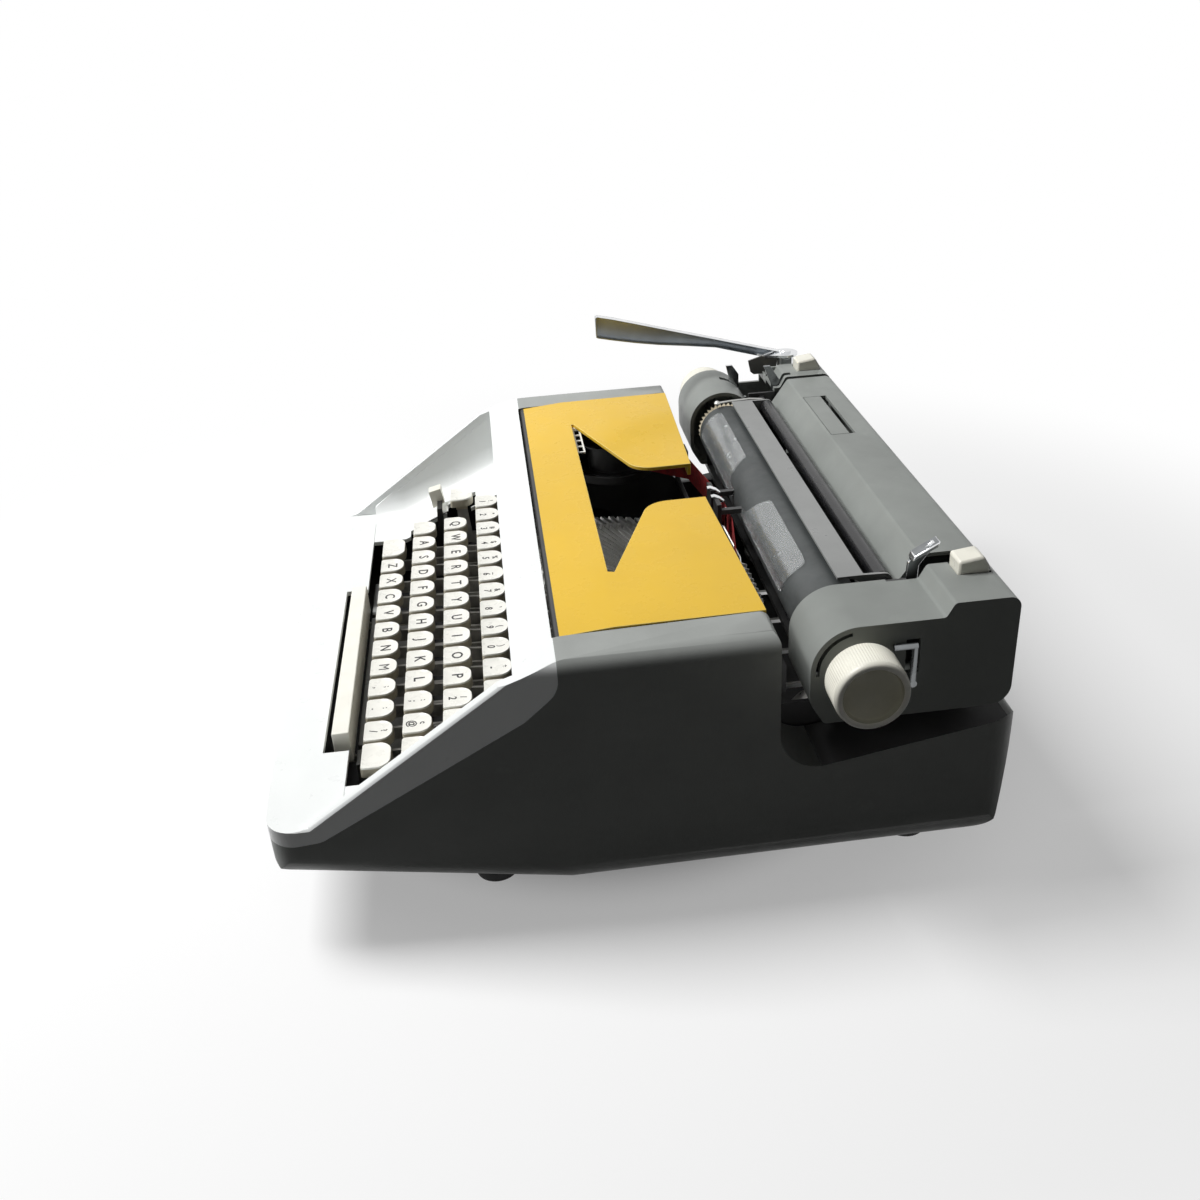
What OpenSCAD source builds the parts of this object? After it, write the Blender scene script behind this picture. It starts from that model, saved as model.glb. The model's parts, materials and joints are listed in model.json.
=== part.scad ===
// Manual portable typewriter, as an assembly of separate pieces.
// Frame: millimetres, +X to the typist's right, +Y to the back, +Z up, origin under the middle on the desk.

/* [Body] */
// half width of the body over its side faces
body_half_w = 162; // [150:0.5:175]
// distance from the middle to the nose and to the back wall
body_half_d = 168; // [155:0.5:180]
// height of the underside above the desk
base_z = 7.2; // [3:0.1:12]
// wall thickness of the shell
wall = 2.6; // [2:0.1:4]
// height of the nose under the front deck
nose_low_z = 50; // [40:0.5:58]
// height of the front deck
deck_z = 60.5; // [56:0.5:66]
// height of the shoulders beside the ribbon cover
shoulder_z = 131.6; // [120:0.2:140]
// rounding between shoulder and side face
shoulder_r = 8; // [5:0.5:12]
// how far the shoulder falls towards the side face
shoulder_drop = 1; // [0.6:0.2:10]
// front position of the notch wall ahead of the carriage
notch_y = 59; // [54:0.5:66]
// height of the rear deck at the notch
rear_deck_z = 60.7; // [54:0.5:70]
// height of the rear deck at the back wall
rear_deck_end_z = 79; // [70:0.5:88]
// radius along the lower side edges
low_edge_r = 24; // [10:0.5:30]
// radius of the rear plan corners
rear_corner_r = 16; // [8:0.5:20]
// radius of the front plan corners
nose_corner_r = 14; // [8:0.5:24]
// height of the underside at the belly, over the flat part
belly_rise = 6.5; // [3:0.1:10]
// radius along the upper outer edges of the arms
arm_edge_r = 3.5; // [1:0.1:6]
// bow of the nose in plan
nose_bow = 7; // [2:0.5:12]
// radius of the notch under the carriage
notch_r = 18; // [8:0.5:26]

/* [Keyboard frame] */
// seam between frame and ribbon cover
band_y = -33; // [-40:0.5:-28]
// rear end of the sloping arm tops
arm_top_y = -57; // [-64:0.5:-54]
// height of the arm tops at their rear end
arm_top_z = 121.5; // [114:0.5:128]
// front edge of the band behind the keys
band_front_y = -51; // [-54:0.5:-46]
// height of the band lip
lip_h = 9; // [4:0.5:14]
// thickness of the side arms
arm_t = 5.5; // [4:0.1:8]
// front end of the key well
well_front_y = -129.5; // [-134:0.5:-126]
// rear end of the front deck
deck_rear_y = -143; // [-150:0.5:-136]
// seam height at the rear end of the arms
seam_top_z = 110.5; // [100:0.5:118]
// seam height at the front end of the arms
seam_low_z = 53.5; // [48:0.5:60]
// distance of the side decks under the key tops
side_deck_drop = 5.5; // [3:0.5:12]
// radius of the coves between side walls and side decks
cove_r = 18; // [6:0.5:20]
// thickness of the side decks
side_deck_t = 2.4; // [1.5:0.1:4]

/* [Ribbon cover] */
// half width of the ribbon cover
cover_half_w = 139.5; // [130:0.5:145]
// sheet thickness of the cover
cover_t = 2; // [1.2:0.1:3]
// rear edge of the cover
cover_rear_y = 57.6; // [50:0.2:62]
// crease line of the cover
cover_crease_y = -7; // [-16:0.5:4]
// height of the crease
cover_crease_z = 131.2; // [126:0.2:136]
// height of the hinge axis
cover_hinge_z = 126.9; // [122:0.1:130]
// hinge knuckle radius
knuckle_r = 2.2; // [1.6:0.1:3]
// hinge pin radius
hinge_pin_r = 1.2; // [0.8:0.1:1.6]
// front edge of the type opening
v_front_y = -4; // [-12:0.5:4]
// half width of the type opening at its front
v_half_w = 101; // [80:0.5:106]
// half width of the neck of the opening
neck_half_w = 22; // [14:0.5:30]
// how far the opening lies to the right of the middle
v_shift = -2.6; // [-6:0.1:3]
// how far the rear edge runs forward towards the neck
cover_rear_bow = 3.8; // [0:0.1:6]

/* [Keys] */
// distance between neighbouring keys
key_pitch = 19.05; // [18:0.05:20]
// position of the first key of the second row
key_x0 = -90.5; // [-96:0.1:-84]
// number of keys in each row, back to front
row_keys = [12, 11, 12, 10]; // fixed
// sideways step of each row in pitches
row_step = [-0.5, 0, 0.25, 0.75]; // fixed
// distance of the first row from the middle
row_y0 = -58.4; // [-64:0.1:-52]
// height of the first row
row_z0 = 88.4; // [82:0.1:94]
// distance between rows
row_dy = 19.4; // [18:0.1:21]
// height step between rows
row_dz = 8.3; // [6:0.1:10]
// width of a key top
key_w = 15.8; // [14:0.1:17]
// distance from the middle of a key top to its front edge
key_front = 6.5; // [5:0.1:8]
// distance from the middle of a key top to its rear edge
key_rear = 6.9; // [6:0.1:8]
// radius of the rear corners of a key top
key_rear_r = 6.4; // [4:0.1:7]
// radius of the front corners of a key top
key_corner_r = 1.2; // [0.5:0.1:3]
// height of a key top
key_h = 5; // [3:0.1:7]
// radius of the dish in the key tops
dish_r = 48; // [30:1:80]
// depth of the dish
dish_d = 0.7; // [0.2:0.1:1.2]
// thickness of a key lever
lever_w = 1.6; // [1.2:0.1:2]
// height of a key lever
lever_h = 7; // [5:0.5:9]
// position of the lever pivot
pivot_y = 45; // [36:0.5:50]
// height of the lever pivot
pivot_z = 46; // [40:0.5:52]
// radius of the pivot rod
pivot_r = 2.5; // [2:0.1:3]
// radial clearance of all turning fits
run_gap = 0.06; // [0.02:0.01:0.1]
// lever height under the first row
lever_z0 = 62; // [56:0.5:66]
// lever height step between rows
lever_dz = 4.6; // [3:0.1:6]
// number of the key that works the single typebar
lone_key = 5; // [0:1:11]
// left end of the space bar
bar_x0 = -46; // [-60:0.5:-43]
// right end of the space bar
bar_x1 = 100; // [91:0.5:104]
// front edge of the space bar
bar_y0 = -137.2; // [-139:0.2:-135]
// rear edge of the space bar
bar_y1 = -129.2; // [-132:0.2:-126]
// height of the space bar top
bar_z = 67; // [62:0.5:70]
// height of the space bar over all
bar_h = 16; // [13:0.5:17]
// width of the slot in front of the space bar
bar_slot = 4.2; // [2:0.1:6]
// position of the backspace key to the side
backspace_x = -124; // [-126:0.5:-122]
// width of the backspace key
backspace_w = 18.5; // [16:0.1:20]
// how far the backspace key sits behind its row
backspace_dy = 4.1; // [0:0.1:5]
// how far the backspace key stands over its row
backspace_dz = 3.9; // [0:0.1:5]

/* [Type basket] */
// radius of the typebar pivots
pivot_circle_r = 34; // [28:0.5:40]
// length of a typebar from its pivot
typebar_l = 58; // [50:0.5:62]
// tilt of the basket
basket_tilt = 20; // [10:1:30]
// centre of the basket
basket_y = 53.4; // [48:0.2:58]
// height of the basket centre
basket_z = 60.8; // [56:0.2:66]
// number of typebars on each side of the middle one
typebars_per_side = 21; // [12:1:22]
// angle between typebars
typebar_step = 3.9; // [3.5:0.1:6]
// thickness of a typebar
typebar_t = 0.9; // [0.6:0.1:1.2]
// height of a typebar
typebar_h = 3.6; // [2.5:0.1:5]
// width of a type head
head_w = 3.4; // [2.4:0.1:4.4]
// length of a type head
head_l = 9; // [6:0.5:12]
// outer radius of the segment
segment_r = 41; // [38:0.5:46]
// inner radius of the segment
segment_in_r = 24; // [18:0.5:28]
// thickness of the segment
segment_t = 9; // [6:0.5:12]
// ribbon spool position to the side
spool_x = 108; // [100:0.5:112]
// ribbon spool position to the back
spool_y = 20; // [10:0.5:30]
// radius of the spool flanges
spool_r = 20; // [16:0.5:22]
// height of the spool cups
cup_z = 97; // [92:0.5:102]
// height of the ribbon
ribbon_h = 13; // [10:0.5:16]

/* [Carriage] */
// position of the platen axis
platen_y = 90.1; // [84:0.1:96]
// height of the platen axis
platen_z = 114.4; // [108:0.1:120]
// radius of the platen
platen_r = 16.1; // [14:0.1:18]
// left end of the platen
platen_x0 = -110; // [-120:0.5:-100]
// right end of the platen
platen_x1 = 124; // [110:0.5:126]
// radius of the platen shaft
shaft_r = 4; // [3:0.1:6]
// radius of the knobs
knob_r = 16; // [12:0.1:16.1]
// inner end of the knobs
knob_x0 = 170; // [167:0.5:174]
// outer end of the knobs
knob_x1 = 188; // [182:0.5:194]
// inner radius of the card holders
card_r = 16.5; // [16.4:0.1:17]
// thickness of the card holders
card_t = 0.8; // [0.6:0.1:1]
// outer radius of the end covers round the platen
hood_r = 20; // [19:0.1:22]
// wall of the end covers
hood_t = 2.2; // [1.6:0.1:3]
// inner edge of the left end cover
hood_left_x = -122; // [-128:0.5:-118]
// inner edge of the right end cover
hood_right_x = 129; // [126:0.5:134]
// outer face of the end covers
hood_x = 166; // [163:0.5:168]
// height of the underside of the carriage covers
hood_z = 89; // [86:0.5:94]
// back of the carriage
hood_rear_y = 157.5; // [150:0.5:162]
// height of the raised rear part
hood_top_z = 140.8; // [136:0.2:146]
// front of the raised rear part
hood_step_y = 129.5; // [124:0.5:136]
// left end of the top cover
top_x0 = -118; // [-121:0.5:-110]
// right end of the top cover
top_x1 = 121; // [114:0.5:124]
// position of the front rail
rail_y0 = 104; // [98:0.5:110]
// position of the rear rail
rail_y1 = 144; // [138:0.5:148]
// size of the square rails
rail_w = 6; // [4:0.5:8]
// height of the rails
rail_z = 76; // [72:0.5:80]
// gap of sliding faces
slide_gap = 0.4; // [0.2:0.05:0.8]
// position of the rear paper roller
roller_y = 114; // [110:0.5:116]
// height of the rear paper roller
roller_z = 129.5; // [126:0.5:132]
// radius of the rear paper roller
roller_r = 4; // [3:0.1:5]
// front edge of the paper bail
bail_y0 = 93; // [88:0.5:96]
// rear edge of the paper bail
bail_y1 = 105; // [100:0.5:108]
// underside of the paper bail
bail_z = 132.6; // [131:0.1:136]
// radius of the feed rollers
feed_r = 4; // [3:0.1:5]
// sideways angle of the feed rollers
feed_angle = 15; // [12:0.5:20]

/* [Levers] */
// position of the return lever pivot to the side
ret_x = -158; // [-162:0.5:-152]
// position of the return lever pivot to the back
ret_y = 138; // [130:0.5:146]
// front tip of the return lever
ret_tip_y = 20; // [10:0.5:40]
// top of the return lever at its tip
ret_tip_z = 177; // [160:0.5:180]
// height of the return lever at its tip
ret_tip_h = 15; // [8:0.5:20]
// position of the margin keys to the side
margin_x = 137; // [132:0.5:142]
// position of the margin keys to the back
margin_y = 146; // [142:0.5:150]
// left end of the paper support
support_x0 = -84; // [-96:0.5:-70]
// right end of the paper support
support_x1 = -24; // [-40:0.5:-10]

/* [Hidden] */
$fn = 64;
eps = 0.01;
big = 400;
tiny = 0.3;
skin_room = 0.6;
clip_r = 21;
row_ys = [for (r = [0:3]) row_y0 - r * row_dy];
row_zs = [for (r = [0:3]) row_z0 - r * row_dz];
key_slope = row_dz / row_dy;
pin_gap_r = pivot_r + run_gap;
side_frame_x = 127;
side_frame_t = 2.5;
card_gap = 0.5;
slot_r0 = card_r - tiny;
slot_r1 = card_r + card_t + card_gap;
feed_d = platen_r + feed_r + 0.35;
nose_y = -body_half_d;
arm_inner_x = body_half_w - arm_t;
belly_y = -66;
flat_y0 = 40;
flat_y1 = body_half_d - 38;
chin_run = 18;
chin_drop = 20.5;
rear_rise = 8;

// Rounded outlines made of straight lines and true arcs
function at(p, i) = p[(i + len(p)) % len(p)];
function unit(v) = v / norm(v);
function left_of(d) = [-d[1], d[0]];
function dir_in(p, i) = unit(at(p, i) - at(p, i - 1));
function dir_out(p, i) = unit(at(p, i + 1) - at(p, i));
function turn(p, i) = let (a = dir_in(p, i), b = dir_out(p, i)) a[0] * b[1] - a[1] * b[0];
function bend(p, i) = acos(max(-1, min(1, dir_in(p, i) * dir_out(p, i))));
function tan_len(p, r, i) = r[i] * tan(bend(p, i) / 2);
function rounded(p, r, i) = r[i] > 0 && abs(turn(p, i)) > eps;
function arc_start(p, r, i) = p[i] - dir_in(p, i) * tan_len(p, r, i);
function arc_end(p, r, i) = p[i] + dir_out(p, i) * tan_len(p, r, i);
function ends(p, r, i) = rounded(p, r, i) ? [arc_start(p, r, i), arc_end(p, r, i)] : [p[i]];
function arc_mid(p, r, i) = arc_start(p, r, i) + left_of(dir_in(p, i)) * r[i] * sign(turn(p, i));
function inset_point(p, t, i) = let (a = left_of(dir_in(p, i)), b = left_of(dir_out(p, i)))
    p[i] + (a + b) * t / (1 + a * b);
function inset(p, t) = [for (i = [0:len(p) - 1]) inset_point(p, t, i)];
function inset_r(p, r, t) = [for (i = [0:len(p) - 1])
    r[i] == 0 ? 0 : turn(p, i) > 0 ? max(0.4, r[i] - t) : r[i] + t];

module corner_disc(p, r, i) {
    translate(arc_mid(p, r, i)) circle(r[i]);
}

module corner_fill(p, r, i) {
    if (r[i] > clip_r)
        intersection() {
            polygon(p);
            polygon([arc_start(p, r, i), p[i], arc_end(p, r, i), arc_mid(p, r, i)]);
            corner_disc(p, r, i);
        }
    else
        corner_disc(p, r, i);
}

module round_poly(p, r) {
    difference() {
        union() {
            polygon([for (i = [0:len(p) - 1]) each ends(p, r, i)]);
            for (i = [0:len(p) - 1])
                if (rounded(p, r, i) && turn(p, i) > 0)
                    corner_fill(p, r, i);
        }
        for (i = [0:len(p) - 1])
            if (rounded(p, r, i) && turn(p, i) < 0)
                corner_disc(p, r, i);
    }
}

module inset_poly(p, r, t) {
    round_poly(inset(p, t), inset_r(p, r, t));
}

module along_x(x0, x1) {
    translate([x0, 0, 0]) rotate([90, 0, 90]) linear_extrude(x1 - x0) children();
}

module along_y(y0, y1) {
    translate([0, y1, 0]) rotate([90, 0, 0]) linear_extrude(y1 - y0) children();
}

module box(a, b) {
    translate(a) cube(b - a);
}

module rod_x(x0, x1, y, z, r) {
    translate([x0, y, z]) rotate([0, 90, 0]) cylinder(r = r, h = x1 - x0);
}

module rod_z(x, y, z0, z1, r) {
    translate([x, y, z0]) cylinder(r = r, h = z1 - z0);
}

module both_sides() {
    children();
    mirror([1, 0, 0]) children();
}

// Outer form of body and keyboard frame together
side_pts = [
    [nose_y, nose_low_z],
    [nose_y + chin_run, nose_low_z - chin_drop],
    [belly_y, base_z + belly_rise],
    [flat_y0, base_z],
    [flat_y1, base_z],
    [body_half_d - rear_rise, base_z + rear_rise],
    [body_half_d, rear_deck_end_z],
    [notch_y, rear_deck_z],
    [notch_y, shoulder_z],
    [band_y, shoulder_z - 2],
    [arm_top_y, arm_top_z],
    [deck_rear_y, deck_z + 1],
    [nose_y + 1, deck_z]
];
side_r = [4, 40, 0, 0, 0, 14, 6, notch_r, 5, 30, 6, 14, 5];
front_pts = [
    [-body_half_w, base_z - skin_room],
    [body_half_w, base_z - skin_room],
    [body_half_w, shoulder_z - shoulder_drop],
    [cover_half_w, shoulder_z],
    [-cover_half_w, shoulder_z],
    [-body_half_w, shoulder_z - shoulder_drop]
];
front_r = [low_edge_r, low_edge_r, shoulder_r, 16, 16, shoulder_r];
plan_pts = [
    [-body_half_w, nose_y + nose_bow],
    [0, nose_y],
    [body_half_w, nose_y + nose_bow],
    [body_half_w, body_half_d],
    [-body_half_w, body_half_d]
];
plan_r = [nose_corner_r, 900, nose_corner_r, rear_corner_r, rear_corner_r];

// Section square to the sloping belly, with rounded lower edges
belly_slope = atan((nose_low_z - chin_drop - base_z - belly_rise) / (belly_y - nose_y - chin_run));
belly_half_w = body_half_w + skin_room;
belly_pts = [
    [-belly_half_w, 0],
    [belly_half_w, 0],
    [belly_half_w, big],
    [-belly_half_w, big]
];
belly_r = [low_edge_r, low_edge_r, 0, 0];

// Section square to the sloping arms, with rounded upper edges
arm_slope = atan((arm_top_z - deck_z - 1) / (arm_top_y - deck_rear_y));
arm_pts = [
    [-belly_half_w, -big],
    [belly_half_w, -big],
    [belly_half_w, 0],
    [-belly_half_w, 0]
];
arm_r = [0, 0, arm_edge_r, arm_edge_r];
deck_half_w = belly_half_w + skin_room / 2;
deck_pts = [
    [-deck_half_w, -big],
    [deck_half_w, -big],
    [deck_half_w, 0],
    [-deck_half_w, 0]
];

module envelope(t) {
    intersection() {
        translate([0, belly_y, base_z + belly_rise - skin_room])
            rotate([-belly_slope, 0, 0]) along_y(-big, big) inset_poly(belly_pts, belly_r, t);
        union() {
            translate([0, arm_top_y, arm_top_z + skin_room])
                rotate([arm_slope, 0, 0]) along_y(-big, big) inset_poly(arm_pts, arm_r, t);
            translate([0, 0, deck_z + 1 + skin_room])
                along_y(-big, deck_rear_y + 2 * arm_edge_r) inset_poly(deck_pts, arm_r, t);
        }
        along_x(-body_half_w - 5, body_half_w + 5) inset_poly(side_pts, side_r, t);
        along_y(nose_y - 5, body_half_d + 5) inset_poly(front_pts, front_r, t);
        translate([0, 0, -eps]) linear_extrude(shoulder_z + 1) inset_poly(plan_pts, plan_r, t);
    }
}

// Region that belongs to the keyboard frame, seen from the side
module frame_region(t) {
    along_x(-big, big)
        round_poly([
            [band_y - t, big],
            [-big, big],
            [-big, nose_low_z + 1.5 + t],
            [nose_y + 18, seam_low_z + t],
            [nose_y + 30, seam_low_z + 1 + t],
            [-48, seam_top_z - 7 + t],
            [band_y - t, seam_top_z + 6 + t]
        ], [0, 0, 0, 8, 10, 14, 12]);
}

module shell() {
    difference() {
        envelope(0);
        envelope(wall);
    }
}

module lower_body() {
    color("dimgray")
    difference() {
        shell();
        frame_region(0);
        box([-cover_half_w - slide_gap, band_y - 2, 112], [cover_half_w + slide_gap, notch_y + 9, big]);
        box([-rear_open_x, notch_y - 6, rear_deck_z + 4], [rear_open_x, notch_y + 14, big]);
        box([-rear_open_x, notch_y - 6, rear_deck_z - 3],
            [rear_open_x, body_half_d - 16, rear_deck_end_z + 11]);
        box([-plate_x + 6, plate_y0 + 6, -1], [plate_x - 6, plate_y1 - 6, plate_z + 10]);
        both_sides()
            rod_x(cover_half_w, cover_half_w + hinge_seat, hinge_y, cover_hinge_z, hinge_pin_r + run_gap);
        screw_holes();
    }
}

rear_open_x = side_frame_x + 4;
hinge_seat = 2.4;
foot_x = side_frame_x + 1;
foot_y0 = -68;
foot_y1 = 128;
foot_r = 10;

module feet() {
    color("black")
    difference() {
        union() {
            both_sides() rod_z(foot_x, foot_y0, 0, 24, foot_r);
            both_sides() rod_z(foot_x + 4, foot_y1, 0, 12, foot_r);
        }
        envelope(0);
    }
}

plate_x = side_frame_x - 1;
plate_y0 = flat_y0 + 4;
plate_y1 = flat_y1 - 1;
plate_z = base_z + wall;
plate_t = 1.5;
screw_r = 1.5;
screw_x = plate_x - 3;
screw_inset = 12;
screw_step = (plate_y1 - plate_y0) / 2 - screw_inset;
screw_at = [for (k = [0:2]) for (s = [-1, 1]) [s * screw_x, plate_y0 + screw_inset + k * screw_step]];

module bottom_plate() {
    color("silver")
    difference() {
        box([-plate_x, plate_y0, plate_z], [plate_x, plate_y1, plate_z + plate_t]);
        for (x = [-90:36:90])
            box([x - 3, plate_y0 + 14, plate_z - 1], [x + 3, plate_y1 - 14, plate_z + plate_t + 1]);
        screw_holes();
    }
}

module screw_holes() {
    for (s = screw_at)
        rod_z(s[0], s[1], -1, 20, screw_r);
}

module bottom_screws() {
    color("silver")
    for (s = screw_at) {
        rod_z(s[0], s[1], base_z - 1.4, base_z, 3);
        rod_z(s[0], s[1], base_z - eps, plate_z + plate_t + 2, screw_r);
    }
}

// Keyboard frame
function deck_line(y) = row_z0 - side_deck_drop + (y - row_y0) * key_slope;

module well_cut() {
    box([-arm_inner_x, deck_rear_y - 3, 0], [arm_inner_x, band_front_y, big]);
}

// Flat rear part of the front deck, with the slot for the space bar and the wall under its rear edge
deck_top_z = deck_z + 0.7;
deck_flat_z = deck_top_z - tiny;
bar_room = 6;
well_wall = 2.4;
well_wall_h = 13;

module front_deck() {
    difference() {
        union() {
            box([-arm_inner_x - 1, deck_rear_y - 5, deck_top_z - wall],
                [arm_inner_x + 1, well_front_y - 1, deck_top_z + 1]);
            box([-arm_inner_x - 1, well_front_y - well_wall, deck_top_z - well_wall_h],
                [arm_inner_x + 1, well_front_y, deck_top_z + 1]);
        }
        box([bar_x0 - bar_room, bar_y0 - bar_slot, 0], [bar_x1 + bar_room, well_front_y + 1, big]);
    }
}

left_deck_x = [-113, -123, -123.5, -115];
right_deck_x = [121, 131, 135, 133];

module side_decks() {
    intersection() {
        along_x(-arm_inner_x - 1, arm_inner_x + 1)
            polygon([
                [well_front_y - 1, deck_flat_z - side_deck_t],
                [knee_y, deck_flat_z - side_deck_t],
                [band_front_y, deck_line(band_front_y) - side_deck_t],
                [band_front_y, deck_line(band_front_y)],
                [knee_y, deck_flat_z],
                [well_front_y - 1, deck_flat_z]
            ]);
        difference() {
            union() {
                for (r = [0:3]) {
                    y0 = r == 3 ? well_front_y - 1 : row_ys[r] - row_dy / 2;
                    y1 = r == 0 ? band_front_y : row_ys[r] + row_dy / 2;
                    box([-arm_inner_x - 1, y0, 0], [left_deck_x[r], y1, big]);
                    box([right_deck_x[r], y0, 0], [arm_inner_x + 1, y1, big]);
                }
            }
            backspace_room();
        }
    }
}

// Where the side decks bend from the flat part into the slope of the keys
knee_y = row_y0 + (deck_flat_z - row_z0 + side_deck_drop) / key_slope;

// A pressed key swings forward a little, so its hole is longer in front
press_room = 3.4;

module backspace_room() {
    half = backspace_w / 2 + 1;
    box([backspace_x - half, backspace_y - key_front - press_room, 0],
        [backspace_x + half, backspace_y + key_rear + 2, big]);
}

module well_side() {
    y0 = well_front_y - 1;
    y1 = band_front_y + 2;
    along_x(arm_inner_x - 0.4, arm_inner_x + 2)
        polygon([
            [y0, deck_line(y0) - side_deck_t],
            [y1, deck_line(y1) - side_deck_t],
            [y1, arm_top_z],
            [y0, deck_z + 4]
        ]);
}

module cove_section() {
    difference() {
        translate([-cove_r, -1]) square([cove_r + 1, cove_r + 1]);
        translate([-cove_r, cove_r]) circle(cove_r);
    }
}

module well_cove() {
    slope = atan(key_slope);
    run = (band_front_y - well_front_y) / cos(slope);
    intersection() {
        union() {
            translate([arm_inner_x, band_front_y, deck_line(band_front_y)])
                rotate([90 + slope, 0, 0])
                    translate([0, 0, -cove_r]) linear_extrude(run + 2 * cove_r) cove_section();
            translate([arm_inner_x, 0, deck_flat_z])
                along_y(well_front_y - cove_r, knee_y + cove_r) cove_section();
        }
        box([0, well_front_y - 1, 0], [big, band_front_y + 1, big]);
    }
}

module rear_panel(x0, x1) {
    z0 = deck_line(band_front_y) - side_deck_t;
    box([x0, band_front_y, z0], [x1, band_front_y + well_wall, arm_top_z]);
}

module keyboard_frame() {
    color("whitesmoke")
    difference() {
        union() {
            difference() {
                intersection() {
                    shell();
                    frame_region(0);
                }
                well_cut();
            }
            intersection() {
                envelope(0);
                frame_region(0);
                union() {
                    both_sides() box([arm_inner_x, nose_y, 0], [body_half_w, band_y, big]);
                    box([-arm_inner_x, band_front_y, arm_top_z - lip_h],
                        [arm_inner_x, band_front_y + 3, arm_top_z + 6]);
                    front_deck();
                }
            }
            side_decks();
            intersection() {
                envelope(wall + slide_gap);
                union() {
                    both_sides() well_side();
                    both_sides() well_cove();
                    rear_panel(-arm_inner_x, left_deck_x[0]);
                    rear_panel(right_deck_x[0], arm_inner_x);
                }
            }
        }
        box([-cover_half_w - slide_gap, band_y - slide_gap, 100], [cover_half_w + slide_gap, 0, big]);
        box([-arm_inner_x, deck_rear_y - 12, deck_top_z], [arm_inner_x, well_front_y + eps, big]);
    }
}

// Ribbon cover
hinge_y = band_y + slide_gap + knuckle_r;

neck_y = 24.4;
v_slope = (neck_y - v_front_y) / (v_half_w - neck_half_w);
v_blunt = 8;

module v_opening() {
    translate([v_shift, 0])
        round_poly([
            [-v_half_w, v_front_y],
            [v_half_w - v_blunt - 1, v_front_y],
            [v_half_w - v_blunt, v_front_y + v_blunt * v_slope],
            [neck_half_w, neck_y],
            [neck_half_w, cover_rear_y + 10],
            [-neck_half_w, cover_rear_y + 10],
            [-neck_half_w, neck_y]
        ], [0.8, 0, 0, 14, 0, 0, 14]);
}

// Plan of everything behind the bowed rear edge, moved forward by t
module behind_cover(t) {
    y = cover_rear_y - t;
    x = cover_half_w + 20;
    bow_x = cover_half_w - 4;
    polygon([
        [-x, y],
        [-bow_x, y],
        [-neck_half_w, y - cover_rear_bow],
        [neck_half_w, y - cover_rear_bow],
        [bow_x, y],
        [x, y],
        [x, y + 40],
        [-x, y + 40]
    ]);
}

// The sheet, its tabs and its rear lip run past the rear edge and are cut off there together
cover_end_y = cover_rear_y + 3;
lip_z = 125;
lip_t = 2;

module ribbon_cover() {
    color("gold")
    difference() {
        union() {
            along_x(-cover_half_w, cover_half_w)
                polygon([
                    [hinge_y, cover_hinge_z + knuckle_r - cover_t],
                    [cover_crease_y, cover_crease_z - cover_t],
                    [cover_end_y, shoulder_z - cover_t],
                    [cover_end_y, shoulder_z],
                    [cover_crease_y, cover_crease_z],
                    [hinge_y, cover_hinge_z + knuckle_r]
                ]);
            rod_x(-cover_half_w, cover_half_w, hinge_y, cover_hinge_z, knuckle_r);
            both_sides()
                along_x(cover_half_w - 2, cover_half_w)
                    polygon([[-20, 122], [cover_end_y, 124], [cover_end_y, shoulder_z - 1], [-20, 129.2]]);
            intersection() {
                box([-cover_half_w, 0, lip_z], [cover_half_w, cover_end_y, shoulder_z - 1]);
                translate([0, 0, lip_z - 10]) linear_extrude(40) behind_cover(lip_t);
            }
        }
        translate([0, 0, 100]) linear_extrude(60) behind_cover(0);
        translate([0, 0, 100]) linear_extrude(60) v_opening();
        both_sides()
            rod_x(cover_half_w - 12, cover_half_w + 1, hinge_y, cover_hinge_z, hinge_pin_r + run_gap);
    }
}

module hinge_pins() {
    color("silver")
    both_sides() {
        rod_x(cover_half_w - 11, cover_half_w + hinge_seat - slide_gap, hinge_y, cover_hinge_z, hinge_pin_r);
        intersection() {
            box([cover_half_w + 2 * slide_gap, band_y + slide_gap, cover_hinge_z - 9],
                [cover_half_w + 6, hinge_y + 4, cover_hinge_z + 6]);
            envelope(wall);
        }
    }
}

// Keys and their levers
module key_top(w) {
    round_poly([
        [-w / 2, -key_front],
        [w / 2, -key_front],
        [w / 2, key_rear],
        [-w / 2, key_rear]
    ], [key_corner_r, key_corner_r, key_rear_r, key_rear_r]);
}

module key_cap(x, y, z, w) {
    difference() {
        translate([x, y, z - key_h]) linear_extrude(key_h) key_top(w);
        translate([x - w, y, z + dish_r - dish_d]) rotate([0, 90, 0]) cylinder(r = dish_r, h = 2 * w);
    }
}

module lever(x, y, z, zl) {
    difference() {
        union() {
            along_x(x - lever_w / 2, x + lever_w / 2)
                polygon([
                    [y - 3, zl - lever_h / 2],
                    [pivot_y, pivot_z - lever_h / 2],
                    [pivot_y, pivot_z + lever_h / 2],
                    [y + 3, zl + lever_h / 2],
                    [y + 3, z - key_h + eps],
                    [y - 3, z - key_h + eps]
                ]);
            rod_x(x - lever_w / 2, x + lever_w / 2, pivot_y, pivot_z, 4.6);
        }
        rod_x(x - lever_w, x + lever_w, pivot_y, pivot_z, pin_gap_r);
    }
}

module key(x, y, z, zl, w, lever_at) {
    key_cap(x, y, z, w);
    lever(lever_at, y, z, zl);
}

module row_key(r, k) {
    x = key_x0 + (row_step[r] + k) * key_pitch;
    key(x, row_ys[r], row_zs[r], lever_z0 - r * lever_dz, key_w, x);
}

module key_row(r) {
    color("ivory")
    for (k = [0:row_keys[r] - 1])
        if (r != 2 || k != lone_key)
            row_key(r, k);
}

module key_row_1() {
    key_row(0);
}

module key_row_2() {
    key_row(1);
}

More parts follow.
